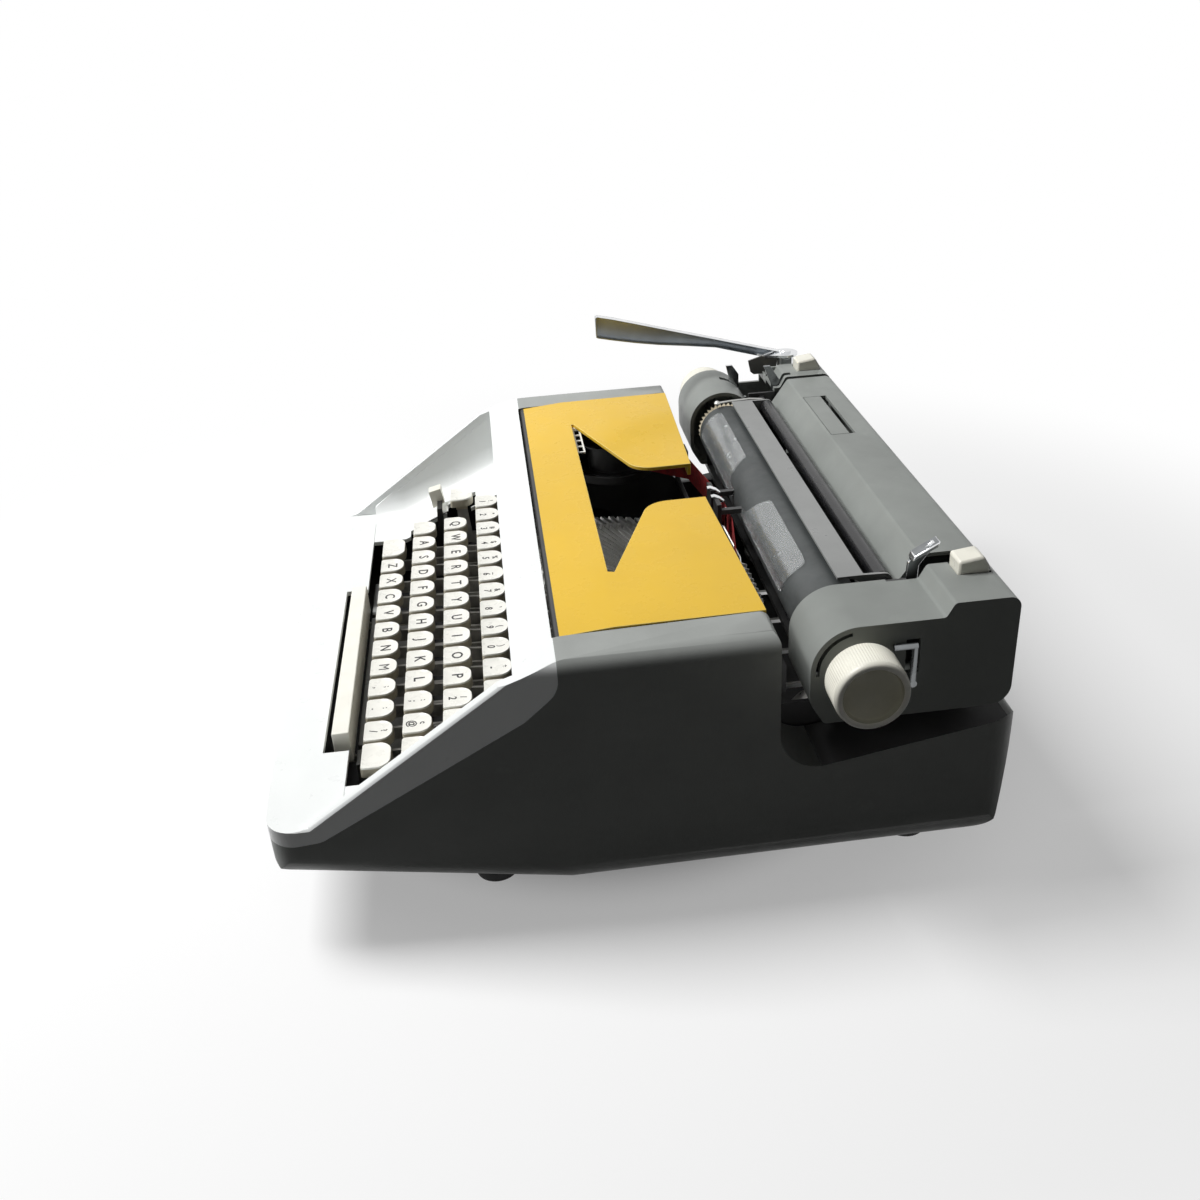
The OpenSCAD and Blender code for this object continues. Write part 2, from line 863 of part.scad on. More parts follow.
module key_row_3() {
    key_row(2);
}

module key_row_4() {
    key_row(3);
}

module lone_letter_key() {
    color("ivory") row_key(2, lone_key);
}

module special_key(x, r, w, lever_at) {
    color("ivory") key(x, row_ys[r], row_zs[r], lever_z0 - r * lever_dz, w, lever_at);
}

module left_shift_key() {
    special_key(-100, 3, 23, special_lever_x[0]);
}

module right_shift_key() {
    special_key(115, 3, 19.5, special_lever_x[1]);
}

module shift_lock_key() {
    special_key(-106, 2, 17, special_lever_x[2]);
}

backspace_y = row_ys[1] + backspace_dy;

module backspace_key() {
    color("ivory")
        key(backspace_x, backspace_y, row_zs[1] + backspace_dz,
            lever_z0 - lever_dz, backspace_w, special_lever_x[3]);
}

module tab_key() {
    special_key(118.5, 1, 18, special_lever_x[4]);
}

module space_bar() {
    color("ivory") {
        box([bar_x0, bar_y0, bar_z - bar_h], [bar_x1, bar_y1, bar_z]);
        for (x = bar_lever_x)
            bar_lever(x);
    }
}

arm_z = 42;
arm_h = 4;

module bar_lever(x) {
    difference() {
        union() {
            along_x(x - lever_w / 2, x + lever_w / 2)
                polygon([
                    [bar_y0 + 1, arm_z],
                    [pivot_y, pivot_z - arm_h / 2],
                    [pivot_y, pivot_z + arm_h / 2],
                    [bar_y1 - 1, arm_z + arm_h],
                    [bar_y1 - 1, bar_z - bar_h + eps],
                    [bar_y0 + 1, bar_z - bar_h + eps]
                ]);
            rod_x(x - lever_w / 2, x + lever_w / 2, pivot_y, pivot_z, 4.6);
        }
        rod_x(x - lever_w, x + lever_w, pivot_y, pivot_z, pin_gap_r);
    }
}

module key_pivot_rod() {
    color("silver") rod_x(-side_frame_x, side_frame_x, pivot_y, pivot_z, pivot_r);
}

comb_y = -22;
comb_slot = lever_w + 1;

special_lever_x = [-104.8, 114.3, -109.5, -118, 119.05];

module comb_slots() {
    for (r = [0:3])
        for (k = [0:row_keys[r] - 1])
            comb_slot_at(key_x0 + (row_step[r] + k) * key_pitch);
    for (x = concat(special_lever_x, bar_lever_x))
        comb_slot_at(x);
}

module comb_slot_at(x) {
    box([x - comb_slot / 2, comb_y - 1, 35], [x + comb_slot / 2, comb_y + 3, 90]);
}

module key_comb() {
    color("silver")
    difference() {
        box([-side_frame_x, comb_y, 30], [side_frame_x, comb_y + 1.6, 64]);
        comb_slots();
    }
}

// Cross plate under the front row, with an upright ledge behind the space bar
cross_x0 = -80;
cross_x1 = 102;
cross_y0 = bar_y1 + 0.8;
cross_y1 = row_ys[3] - key_front - 1.5;
cross_rear_y = -98;
cross_low_z = 27;
cross_t = 2;
cross_top_z = 50;
cross_post_x = [-70, 0, 70];
cross_post_half = 6;
cross_post_y = -111;

module front_cross_plate() {
    color("gray") {
        difference() {
            along_x(cross_x0, cross_x1)
                polygon([
                    [cross_y0, cross_low_z + cross_t],
                    [cross_rear_y, cross_low_z],
                    [cross_rear_y, cross_low_z + cross_t],
                    [cross_y1, cross_low_z + 2 * cross_t],
                    [cross_y1, cross_top_z],
                    [cross_y0, cross_top_z]
                ]);
            for (x = bar_lever_x)
                box([x - lever_w / 2 - 1, cross_y0 - 1, cross_low_z + 2.1 * cross_t],
                    [x + lever_w / 2 + 1, cross_rear_y + 1, big]);
        }
        intersection() {
            envelope(wall);
            for (x = cross_post_x)
                box([x - cross_post_half, cross_post_y - 5, base_z],
                    [x + cross_post_half, cross_post_y + 5, cross_low_z + 1]);
        }
    }
}

bar_lever_x = [-40.5, 88.1];

// Ribbon colour selector: stalk beside the deck, arm over the deck, finger block
selector_x = -137;
selector_y = -88;
selector_z = 58;
selector_half = 3.8;
stalk_x = -121.4;
stalk_half = 1;
arm_over_z = 74.2;
arm_over_t = 2.4;

module colour_selector() {
    color("ivory") {
        along_x(stalk_x - stalk_half, stalk_x + stalk_half)
            polygon([
                [selector_y - 3, selector_z - 6],
                [selector_y + 3, selector_z - 6],
                [selector_y + 2, arm_over_z + arm_over_t],
                [selector_y - 1, arm_over_z + arm_over_t]
            ]);
        box([selector_x, selector_y - 1, arm_over_z], [stalk_x, selector_y + 2, arm_over_z + arm_over_t]);
        along_x(selector_x - selector_half, selector_x + selector_half)
            translate([selector_y, arm_over_z])
                polygon([[-4, -2.4], [3.5, 0.8], [1.8, 10.2], [-5.6, 8.4]]);
        rod_x(-side_frame_x - side_frame_t + 0.2, stalk_x, selector_y, selector_z, 2);
    }
}

// Chassis
module side_frames() {
    color("silver") {
        both_sides() side_frame();
        selector_ear();
    }
}

module side_frame() {
    difference() {
        along_x(side_frame_x, side_frame_x + side_frame_t)
            polygon([
                [-96, 26],
                [plate_y0, plate_z],
                [plate_y1, plate_z],
                [rail_y1 + rail_w, plate_z + rear_rise],
                [rail_y1 + rail_w, rail_z],
                [64, rail_z],
                [56, 84],
                [48, cup_z],
                [-8, cup_z],
                [-30, 68],
                [-60, 50],
                [-96, 40]
            ]);
        rod_x(100, 140, 100, 40, 16);
        rod_x(100, 140, 8, 48, 16);
    }
}

module selector_ear() {
    difference() {
        box([-side_frame_x - side_frame_t, selector_y - 5, 38],
            [-side_frame_x, selector_y + 5, selector_z + 5]);
        rod_x(-big, 0, selector_y, selector_z, 2 + run_gap);
    }
}

module carriage_rails() {
    color("silver")
    for (y = [rail_y0, rail_y1])
        box([-side_frame_x - side_frame_t, y - rail_w / 2, rail_z],
            [side_frame_x + side_frame_t, y + rail_w / 2, rail_z + rail_w]);
}

// Type basket
module basket_place() {
    translate([0, basket_y, basket_z]) rotate([-basket_tilt, 0, 0]) children();
}

module typebar(a) {
    rotate([0, 0, a]) {
        translate([-typebar_t / 2, -pivot_circle_r - typebar_l, -typebar_h / 2])
            cube([typebar_t, typebar_l, typebar_h]);
        translate([0, -pivot_circle_r, 0])
            rotate([0, 90, 0]) cylinder(r = typebar_h / 2, h = typebar_t, center = true);
        translate([-head_w / 2, -pivot_circle_r - typebar_l, -typebar_h / 2])
            cube([head_w, head_l, typebar_h + 1.6]);
    }
}

module typebars() {
    color("silver")
    basket_place()
        for (k = [1:typebars_per_side]) {
            typebar(k * typebar_step);
            typebar(-k * typebar_step);
        }
}

module lone_typebar() {
    color("silver") basket_place() typebar(0);
}

module segment() {
    color("black") {
        basket_place() segment_ring();
        basket_carrier();
    }
}

module segment_ring() {
    difference() {
        translate([0, 0, -segment_t / 2 - 1.5])
            linear_extrude(segment_t)
                difference() {
                    circle(segment_r);
                    circle(segment_in_r);
                    translate([-big, 4]) square([2 * big, big]);
                }
        for (k = [-typebars_per_side:typebars_per_side])
            rotate([0, 0, k * typebar_step])
                translate([-typebar_t / 2 - tiny, -segment_r - 1, -typebar_h / 2 - 1])
                    cube([typebar_t + 2 * tiny, segment_r - pivot_circle_r + 6, segment_t]);
    }
}

// Cross bar with end tabs that ride on the side frames
carrier_y = 52;
carrier_z = 51;
carrier_end_x = side_frame_x - tiny;

module basket_carrier() {
    box([-carrier_end_x, carrier_y, carrier_z], [carrier_end_x, carrier_y + 5, carrier_z + 6]);
    both_sides()
        box([carrier_end_x - 2.5, carrier_y - 2, carrier_z - 5],
            [carrier_end_x, carrier_y + 6, carrier_z + 15]);
}

// Type guide on its cross bar, and the fork that lifts the ribbon behind it
guide_y = 60.5;
guide_t = 2.5;
guide_half = 15;
guide_low_z = 80;
guide_top_z = 124;
guide_gap_half = 4;
guide_gap_z = 98;
fork_y = 66.2;
fork_t = 1;
fork_x = 6.75;
fork_half = 1.25;
fork_low_z = 90;
fork_top_z = 118;
fork_foot_h = 5;

module type_guide() {
    color("black")
    difference() {
        union() {
            box([-guide_half, guide_y, guide_low_z], [guide_half, guide_y + guide_t, guide_top_z]);
            box([-side_frame_x, guide_y, guide_low_z - 2],
                [side_frame_x, guide_y + guide_t, guide_low_z + 2]);
        }
        box([-guide_gap_half, guide_y - 1, guide_gap_z], [guide_gap_half, guide_y + guide_t + 1, big]);
    }
}

module ribbon_vibrator() {
    color("silver") {
        for (s = [-1, 1])
            box([s * fork_x - fork_half, fork_y, fork_low_z],
                [s * fork_x + fork_half, fork_y + fork_t, fork_top_z]);
        box([-fork_x - fork_half, fork_y, fork_low_z],
            [fork_x + fork_half, fork_y + fork_t, fork_low_z + fork_foot_h]);
    }
}

module card_ring(a0, a1) {
    difference() {
        circle(card_r + card_t);
        circle(card_r);
        rotate(a0) translate([-big, -big]) square([2 * big, big]);
        rotate(a1) translate([-big, 0]) square([2 * big, big]);
    }
}

card_x0 = 10;
card_x1 = 26;
card_x2 = 100;
card_a0 = 109;
card_a1 = 160;
card_a2 = 172;
card_arm_z = 117.2;

module card_holders() {
    color("lightgray")
    both_sides() {
        translate([0, platen_y, platen_z]) {
            along_x(card_x1, card_x2) card_ring(card_a0, card_a2);
            along_x(card_x0, card_x1) card_ring(card_a1, card_a2);
        }
        difference() {
            box([card_x0, guide_y + guide_t, card_arm_z],
                [card_x0 + 3, platen_y - card_r + 2, card_arm_z + 2.6]);
            rod_x(0, card_x1, platen_y, platen_z, card_r + card_t / 4);
        }
    }
}

cup_h = 5;
spindle_r = 3;
core_r = 15;
flange_t = 1.2;
spool_h = 18;

module spool_cup() {
    difference() {
        rod_z(spool_x, spool_y, cup_z, cup_z + cup_h, spool_r + 4);
        rod_z(spool_x, spool_y, cup_z + 1.6, cup_z + cup_h + 1, spool_r + 2.6);
    }
    rod_z(spool_x, spool_y, cup_z + 1, cup_z + 24, spindle_r);
}

module spool_cups() {
    color("dimgray") both_sides() spool_cup();
}

spool_z0 = cup_z + 3;

module spool() {
    difference() {
        union() {
            rod_z(spool_x, spool_y, spool_z0, spool_z0 + flange_t, spool_r);
            rod_z(spool_x, spool_y, spool_z0 + spool_h - flange_t, spool_z0 + spool_h, spool_r);
            rod_z(spool_x, spool_y, spool_z0 + flange_t / 2, spool_z0 + spool_h - flange_t / 2, core_r);
        }
        rod_z(spool_x, spool_y, spool_z0 - 1, spool_z0 + spool_h + 1, spindle_r + run_gap);
        for (a = [0:60:300])
            translate([spool_x, spool_y, 0]) rotate([0, 0, a])
                rod_z((spindle_r + core_r) / 2, 0, spool_z0 - 1, spool_z0 + spool_h + 1, 2);
    }
}

module left_spool() {
    color("black") mirror([1, 0, 0]) spool();
}

module right_spool() {
    color("black") spool();
}

ribbon_z = cup_z + 5.6;
ribbon_pts = [[-95, 31.5], [-70, 60], [-16, 68.15], [16, 68.15], [70, 60], [95, 31.5]];

module ribbon() {
    color("firebrick")
    translate([0, 0, ribbon_z])
        linear_extrude(ribbon_h)
            polygon(concat(
                [for (p = ribbon_pts) p - [0, 0.15]],
                [for (i = [len(ribbon_pts) - 1:-1:0]) ribbon_pts[i] + [0, 0.15]]));
}

// Carriage drive
drum_x = -92;
drum_y = 122;
drum_r = 22;
drum_hub_r = 4;
drum_z0 = 38;
drum_z1 = 56;
wheel_x = 20;
wheel_z = 62;
wheel_r = 15;
wheel_root_r = 12.5;
wheel_teeth = 24;
bell_x = 85;
bell_y = 100;
bell_z = 30;
bell_r = 20;
bell_t = 1.5;

module mainspring_drum() {
    color("silver")
    difference() {
        union() {
            rod_z(drum_x, drum_y, drum_z0 + 2, drum_z1 - 2, drum_r);
            rod_z(drum_x, drum_y, drum_z0, drum_z0 + 2.5, drum_r + 2);
            rod_z(drum_x, drum_y, drum_z1 - 2.5, drum_z1, drum_r + 2);
            rod_z(drum_x, drum_y, plate_z + plate_t + 0.5, drum_z1 + 6, drum_hub_r);
        }
        for (a = [0:60:300])
            translate([drum_x, drum_y, 0]) rotate([0, 0, a])
                rod_z((drum_r + drum_hub_r) / 2 + 1, 0, drum_z1 - 3, drum_z1 + 4, 3);
    }
}

module escape_wheel() {
    color("goldenrod") {
        translate([wheel_x, drum_y, wheel_z])
            linear_extrude(2)
                polygon([for (i = [0:2 * wheel_teeth - 1])
                    let (r = i % 2 == 0 ? wheel_r : wheel_root_r, a = i * 180 / wheel_teeth)
                    [r * cos(a), r * sin(a)]]);
        rod_z(wheel_x, drum_y, plate_z + plate_t + 0.5, wheel_z + 8, 2.5);
    }
}

module bell() {
    color("silver")
    translate([bell_x, bell_y, bell_z]) {
        rotate_extrude()
            intersection() {
                difference() {
                    circle(bell_r);
                    circle(bell_r - bell_t);
                }
                translate([0, 4]) square([big, big]);
            }
        translate([0, 0, plate_z + plate_t - bell_z])
            cylinder(r = 2.5, h = bell_z + bell_r - bell_t / 2 - plate_z - plate_t);
    }
}

// Carriage
module carriage_end(x0, x1) {
    difference() {
        along_x(x0, x1)
            polygon([
                [end_y0, hood_z - 1],
                [end_y2, hood_z - 1],
                [end_y2, release_z + 5],
                [roller_y + 8, end_top_z],
                [end_y1, end_top_z],
                [end_y1, end_low_z],
                [end_y0, end_low_z]
            ]);
        rod_x(x0 - 1, x1 + 1, roller_y, roller_z, journal_r + run_gap);
        rod_x(x0 - 1, x1 + 1, release_y, release_z, journal_r + run_gap);
        for (s = [-1, 1])
            rod_x(x0 - 1, x1 + 1, feed_y(s), feed_z, feed_shaft_r + run_gap);
    }
}

function feed_y(s) = platen_y + s * feed_d * sin(feed_angle);
feed_z = platen_z - feed_d * cos(feed_angle);
feed_shaft_r = 1.5;
journal_r = 2;
end_left_x = -121.5;
end_right_x = 127;
end_t = 1.8;
end_y0 = 80;
end_y1 = 106;
end_y2 = 130;
end_low_z = 101;
end_top_z = 133;
channel_x = 150;

module rail_channel(y) {
    w = rail_w / 2 + slide_gap;
    difference() {
        box([-channel_x, y - w - 2, rail_z + 2.6], [channel_x, y + w + 2, hood_z - 2]);
        box([-channel_x - 1, y - w, rail_z], [channel_x + 1, y + w, rail_z + rail_w + slide_gap]);
    }
}

module carriage_frame() {
    color("gray") {
        box([-hood_x + 6, platen_y - 10, hood_z - 3], [hood_x - 6, hood_rear_y - 3.5, hood_z]);
        rail_channel(rail_y0);
        rail_channel(rail_y1);
        carriage_end(end_left_x, end_left_x + end_t);
        carriage_end(end_right_x, end_right_x + end_t);
    }
}

hood_pts = [
    [76.5, hood_z],
    [hood_rear_y, hood_z],
    [hood_rear_y, hood_top_z],
    [hood_step_y, hood_top_z],
    [hood_step_y - 3.5, platen_z + hood_r],
    [platen_y - hood_r, platen_z + hood_r],
    [platen_y - hood_r, 100]
];
hood_rr = [3, 9, 5, 2, 2, hood_r, 12];

module hood(x0, x1, open_left) {
    difference() {
        along_x(x0, x1) round_poly(hood_pts, hood_rr);
        along_x(open_left ? x0 - 1 : x0 + hood_t, open_left ? x1 - hood_t : x1 + 1)
            inset_poly(hood_pts, hood_rr, hood_t);
        rod_x(x0 - 1, x1 + 1, platen_y, platen_z, shaft_r + run_gap);
        translate([0, platen_y, platen_z])
            along_x(x0 - 1, x1 + 1) slot_ring(100, 186);
    }
}

module slot_ring(a0, a1) {
    difference() {
        circle(slot_r1);
        circle(slot_r0);
        rotate(a0) translate([-big, -big]) square([2 * big, big]);
        rotate(a1) translate([-big, 0]) square([2 * big, big]);
    }
}

margin_half_x = 6;
margin_half_y = 7;
margin_z = 130;

module margin_pocket(x) {
    half_x = margin_half_x + slide_gap;
    half_y = margin_half_y + slide_gap;
    box([x - half_x, margin_y - half_y, margin_z - 4], [x + half_x, margin_y + half_y, big]);
}

shelf_z = 132;
shelf_x = -146;
shelf_y = hood_step_y - 6;

// The left hood is round over the platen's end and open behind it, where the levers stand
bay_z = 125;

module lever_bay(t) {
    difference() {
        box([-hood_x - 1, platen_y, bay_z], [hood_left_x + 1, shelf_y - 1, 160]);
        along_x(-hood_x - 2, hood_left_x + 2) translate([platen_y, platen_z]) circle(hood_r - t);
    }
}

module left_end_cover() {
    color("dimgray")
    difference() {
        union() {
            difference() {
                hood(-hood_x, hood_left_x, false);
                box([-hood_x - 1, shelf_y, shelf_z], [shelf_x, hood_rear_y + 1, 160]);
                lever_bay(0);
            }
            intersection() {
                lever_bay(hood_t);
                along_x(-hood_x, hood_left_x) translate([platen_y, platen_z]) circle(hood_r);
            }
            box([-hood_x, shelf_y - 1, shelf_z - 2.4], [shelf_x + 1, hood_rear_y, shelf_z]);
            box([shelf_x - 1, shelf_y - 1, shelf_z - 2.4], [shelf_x + 1, hood_rear_y - 2, hood_top_z - 1]);
            rod_z(ret_x, ret_y, shelf_z - 1, ret_top_z + 0.5, ret_pin_r);
            box([line_x + 7.5, line_y - 6, hood_z + 1], [line_x + 10, line_y + 6, line_z + 4]);
        }
        margin_pocket(-margin_x);
        box([line_x - 2.4, line_y - 9, 124], [line_x + 2.4, line_y + 9, 150]);
        box([left_release_x - 1, release_y - 18, release_z + 10],
            [left_release_x + 3, release_y + 10, hood_top_z + 9]);
        rod_x(line_x - 2, line_x + 14, line_y, line_z, journal_r + run_gap);
    }
}

module right_end_cover() {
    color("dimgray")
    difference() {
        hood(hood_right_x, hood_x, true);
        margin_pocket(margin_x);
        box([hood_right_x - 1, 112, 120], [hood_right_x + 2, hood_step_y + 12, 150]);
        box([hood_x - 3, 110, 110], [hood_x + 1, 116, 126]);
        rod_x(hood_x - 6, hood_x + 1, catch_y, catch_z, catch_r + run_gap);
    }
}

module top_cover() {
    color("dimgray") {
        difference() {
            along_x(top_x0, top_x1)
                difference() {
                    round_poly(top_pts, top_rr);
                    inset_poly(top_pts, top_rr, top_t);
                    translate([top_y - 9, hood_z - 10]) square([36, 26]);
                    translate([top_y - 9, hood_z + 5]) square([12, 28]);
                }
            box([support_x0 - slide_gap, hood_step_y + 1, hood_top_z - 3],
                [support_x1 + slide_gap, support_pin_y + 3.7, hood_top_z + 3]);
        }
        for (x = [support_x0 - 3.2, support_x1 + 1.2])
            difference() {
                box([x, support_pin_y - 2.4, support_pin_z - 2.4],
                    [x + 2, support_pin_y + 2.4, hood_top_z - 1]);
                rod_x(x - 1, x + 3, support_pin_y, support_pin_z, 1 + run_gap);
            }
    }
}

support_pin_y = 140.3;
support_pin_z = 137.4;

top_t = 1.8;
top_y = 119;
top_pts = [
    [top_y, hood_z],
    [hood_rear_y, hood_z],
    [hood_rear_y, hood_top_z],
    [hood_step_y, hood_top_z],
    [top_y, 126]
];
top_rr = [0, 9, 5, 2, 1];

module paper_support() {
    color("dimgray") {
        box([support_x0, hood_step_y + 1 + slide_gap, hood_top_z - 1.6],
            [support_x1, support_pin_y + 0.4, hood_top_z]);
        rod_x(support_x0 - 3, support_x1 + 3, support_pin_y, support_pin_z, 1);
        box([support_x0, support_pin_y - 0.8, support_pin_z],
            [support_x1, support_pin_y + 0.4, hood_top_z - 1]);
    }
}

table_r = 17.8;
table_t = 1.2;
table_leg_x = [-80, 0, 80];
feed_x = [-80, 5, 90];
feed_half = 18;

module paper_table() {
    color("silver") {
        translate([0, platen_y, platen_z])
            along_x(platen_x0 + 6, platen_x1 - 4)
                difference() {
                    circle(table_r + table_t);
                    circle(table_r);
                    rotate(-42) translate([-big, -big]) square([2 * big, big]);
                    rotate(30) translate([-big, 0]) square([2 * big, big]);
                }
        for (x = table_leg_x)
            box([x - 5, platen_y + 13.9, hood_z], [x + 5, platen_y + 15.5, hood_z + 14]);
    }
}

module feed_roller(s) {
    rod_x(end_left_x + 0.2, end_right_x + end_t - 0.2, feed_y(s), feed_z, feed_shaft_r);
    for (x = feed_x)
        rod_x(x - feed_half, x + feed_half, feed_y(s), feed_z, feed_r);
}

module front_feed_roller() {
    color("black") feed_roller(-1);
}

module rear_feed_roller() {
    color("black") feed_roller(1);
}

module platen() {
    color("darkslategray")
    difference() {
        rod_x(platen_x0, platen_x1, platen_y, platen_z, platen_r);
        rod_x(platen_x0 - 1, platen_x1 + 1, platen_y, platen_z, shaft_r);
    }
}

module platen_shaft() {
    color("silver") rod_x(-knob_x1 + 6, knob_x1 - 6, platen_y, platen_z, shaft_r);
}

module knob() {
    difference() {
        union() {
            rod_x(knob_x0 + 1.2, knob_x1 - 1.2, platen_y, platen_z, knob_r);
            rod_x(knob_x0, knob_x0 + 1.3, platen_y, platen_z, knob_r - 1.2);
            rod_x(knob_x1 - 1.3, knob_x1, platen_y, platen_z, knob_r - 1.2);
        }
        rod_x(knob_x1 - 3, knob_x1 + 1, platen_y, platen_z, knob_r - 4);
        rod_x(knob_x0 - 1, knob_x1 - 6, platen_y, platen_z, shaft_r);
    }
}

module left_knob() {
    color("ivory") mirror([1, 0, 0]) knob();
}

module right_knob() {
    color("ivory") knob();
}

ratchet_teeth = 36;
ratchet_h = 1.6;

module line_ratchet() {
    color("tan")
    difference() {
        translate([0, platen_y, platen_z])
            along_x(platen_x0 - 6, platen_x0)
                polygon([for (i = [0:2 * ratchet_teeth - 1])
                    let (r = platen_r - (i % 2 == 0 ? tiny : tiny + ratchet_h), a = i * 180 / ratchet_teeth)
                    [r * cos(a), r * sin(a)]]);
        rod_x(platen_x0 - 7, platen_x0 + 1, platen_y, platen_z, shaft_r);
    }
}

bail_x0 = -107;
bail_x1 = 122;
bail_t = 1.2;
bail_arm_t = 1.6;

module paper_bail() {
    color("lightslategray")
    difference() {
        union() {
            box([bail_x0, bail_y0, bail_z], [bail_x1, bail_y1, bail_z + bail_t]);
            for (x = [bail_x0, bail_x1 - bail_arm_t])
                along_x(x, x + bail_arm_t)
                    polygon([
                        [bail_y1 - 6, bail_z],
                        [roller_y, roller_z - roller_r + 0.4],
                        [roller_y, roller_z + roller_r],
                        [bail_y1 - 2, bail_z + bail_t],
                        [bail_y1 - 6, bail_z + bail_t]
                    ]);
            for (x = [bail_x0, bail_x1 - bail_arm_t])
                rod_x(x, x + bail_arm_t, roller_y, roller_z, roller_r);
        }
        rod_x(-big, big, roller_y, roller_z, journal_r + run_gap);
    }
}

module rear_paper_roller() {
    color("black") {
        rod_x(bail_x0 + 2.4, bail_x1 - 2.4, roller_y, roller_z, roller_r);
        rod_x(end_left_x + 0.2, end_right_x + end_t - 0.2, roller_y, roller_z, journal_r);
    }
}

// Carriage levers
ret_pin_r = 3;
ret_top_z = 142.5;
ret_heel_h = 6.5;
ret_side = 5.5;
ret_t = 2;

module return_lever() {
    color("silver")
    difference() {
        union() {
            rod_z(ret_x, ret_y, shelf_z + slide_gap, ret_top_z + 2.5, 2 * ret_pin_r);
            along_x(ret_x - ret_side, ret_x - ret_side + ret_t)
                polygon([
                    [ret_y + 7, ret_top_z - ret_heel_h],
                    [ret_y + 7, ret_top_z],
                    [ret_tip_y + 2, ret_tip_z],
                    [ret_tip_y, ret_tip_z - 2],
                    [ret_tip_y - 3, ret_tip_z - ret_tip_h],
                    [ret_tip_y + 6, ret_tip_z - ret_tip_h - 2],
                    [ret_y - 68, ret_top_z + 9.5],
                    [ret_y - 26, ret_top_z + 0.5],
                    [ret_y - 14, ret_top_z - ret_heel_h]
                ]);
            along_x(ret_x - ret_side, ret_x + 1)
                polygon([
                    [ret_y + 7, ret_top_z - 1.6],
                    [ret_y + 7, ret_top_z],
                    [ret_tip_y + 2, ret_tip_z],
                    [ret_tip_y + 1.4, ret_tip_z - 1.6]
                ]);
        }
        rod_z(ret_x, ret_y, hood_z, ret_top_z + 0.9, ret_pin_r + run_gap);
    }
}

line_x = -150;
line_y = 103;
line_z = 120;

module line_space_lever() {
    color("silver") {
        along_x(line_x - 1, line_x + 1)
            polygon([
                [line_y - 3, line_z - 4],
                [line_y + 3, line_z - 4],
                [line_y + 3, 136],
                [line_y - 1, 142],
                [line_y - 5, 142],
                [line_y - 3, 134]
            ]);
        rod_x(line_x - 1, line_x + 10, line_y, line_z, journal_r);
    }
}

release_x = 124.2;
left_release_x = hood_left_x - 6.6;
release_y = 124;
release_z = 114;
catch_y = 113;
catch_z = 106;
catch_r = 1.6;

module paper_release_lever() {
    color("silver") {
        along_x(release_x, release_x + 2)
            translate([release_y, release_z])
                polygon([[-3, -4], [3, -4], [4, 24], [11, 33], [9, 35], [-1, 26]]);
        along_x(release_x - 1.9, release_x + 4.4)
            translate([release_y, release_z])
                polygon([[11, 33], [12, 35.6], [1, 29.6], [0, 27]]);
        rod_x(release_x, end_right_x + end_t - 0.2, release_y, release_z, journal_r);
    }
}

module left_release_lever() {
    color("silver") {
        along_x(left_release_x, left_release_x + 2)
            translate([release_y, release_z])
                polygon([[-3, -4], [3, -4], [4, 22], [-3, 33], [-7, 33], [-2, 21]]);
        rod_x(left_release_x, end_left_x + end_t - 0.2, release_y, release_z, journal_r);
    }
}

module right_release_lever() {
    color("silver") {
        rod_x(hood_x - 5, hood_x + 3.2, catch_y, catch_z, catch_r);
        rod_z(hood_x + 2, catch_y, catch_z - 1, 124, 1.4);
        translate([hood_x + 2, catch_y - 9, 124]) rotate([-90, 0, 0]) cylinder(r = 1.4, h = 10);
    }
}

module margin_key(x) {
    along_x(x - margin_half_x, x + margin_half_x)
        polygon([
            [margin_y - margin_half_y, margin_z],
            [margin_y + margin_half_y, margin_z],
            [margin_y + margin_half_y, margin_z + 13],
            [margin_y + 4, margin_z + 18],
            [margin_y - margin_half_y, margin_z + 16.6]
        ]);
}

module left_margin_key() {
    color("ivory") margin_key(-margin_x);
}

module right_margin_key() {
    color("ivory") margin_key(margin_x);
}

lower_body();
keyboard_frame();
bottom_plate();
feet();
bottom_screws();
side_frames();
front_cross_plate();
key_comb();
key_pivot_rod();
carriage_rails();
card_holders();
type_guide();
spool_cups();
ribbon();
bell();
hinge_pins();
ribbon_cover();
left_spool();
right_spool();
segment();
typebars();
lone_typebar();
lone_letter_key();
ribbon_vibrator();
key_row_1();
key_row_2();
key_row_3();
key_row_4();
space_bar();
left_shift_key();
right_shift_key();
shift_lock_key();
backspace_key();
tab_key();
colour_selector();
mainspring_drum();
escape_wheel();
carriage_frame();
left_end_cover();
right_end_cover();
top_cover();
paper_support();
paper_table();
front_feed_roller();
rear_feed_roller();
platen();
platen_shaft();
left_knob();
right_knob();
line_ratchet();
paper_bail();
rear_paper_roller();
return_lever();
line_space_lever();
paper_release_lever();
left_release_lever();
right_release_lever();
left_margin_key();
right_margin_key();
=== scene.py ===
import json
import math

import bmesh
import bpy
from mathutils import Matrix, Vector


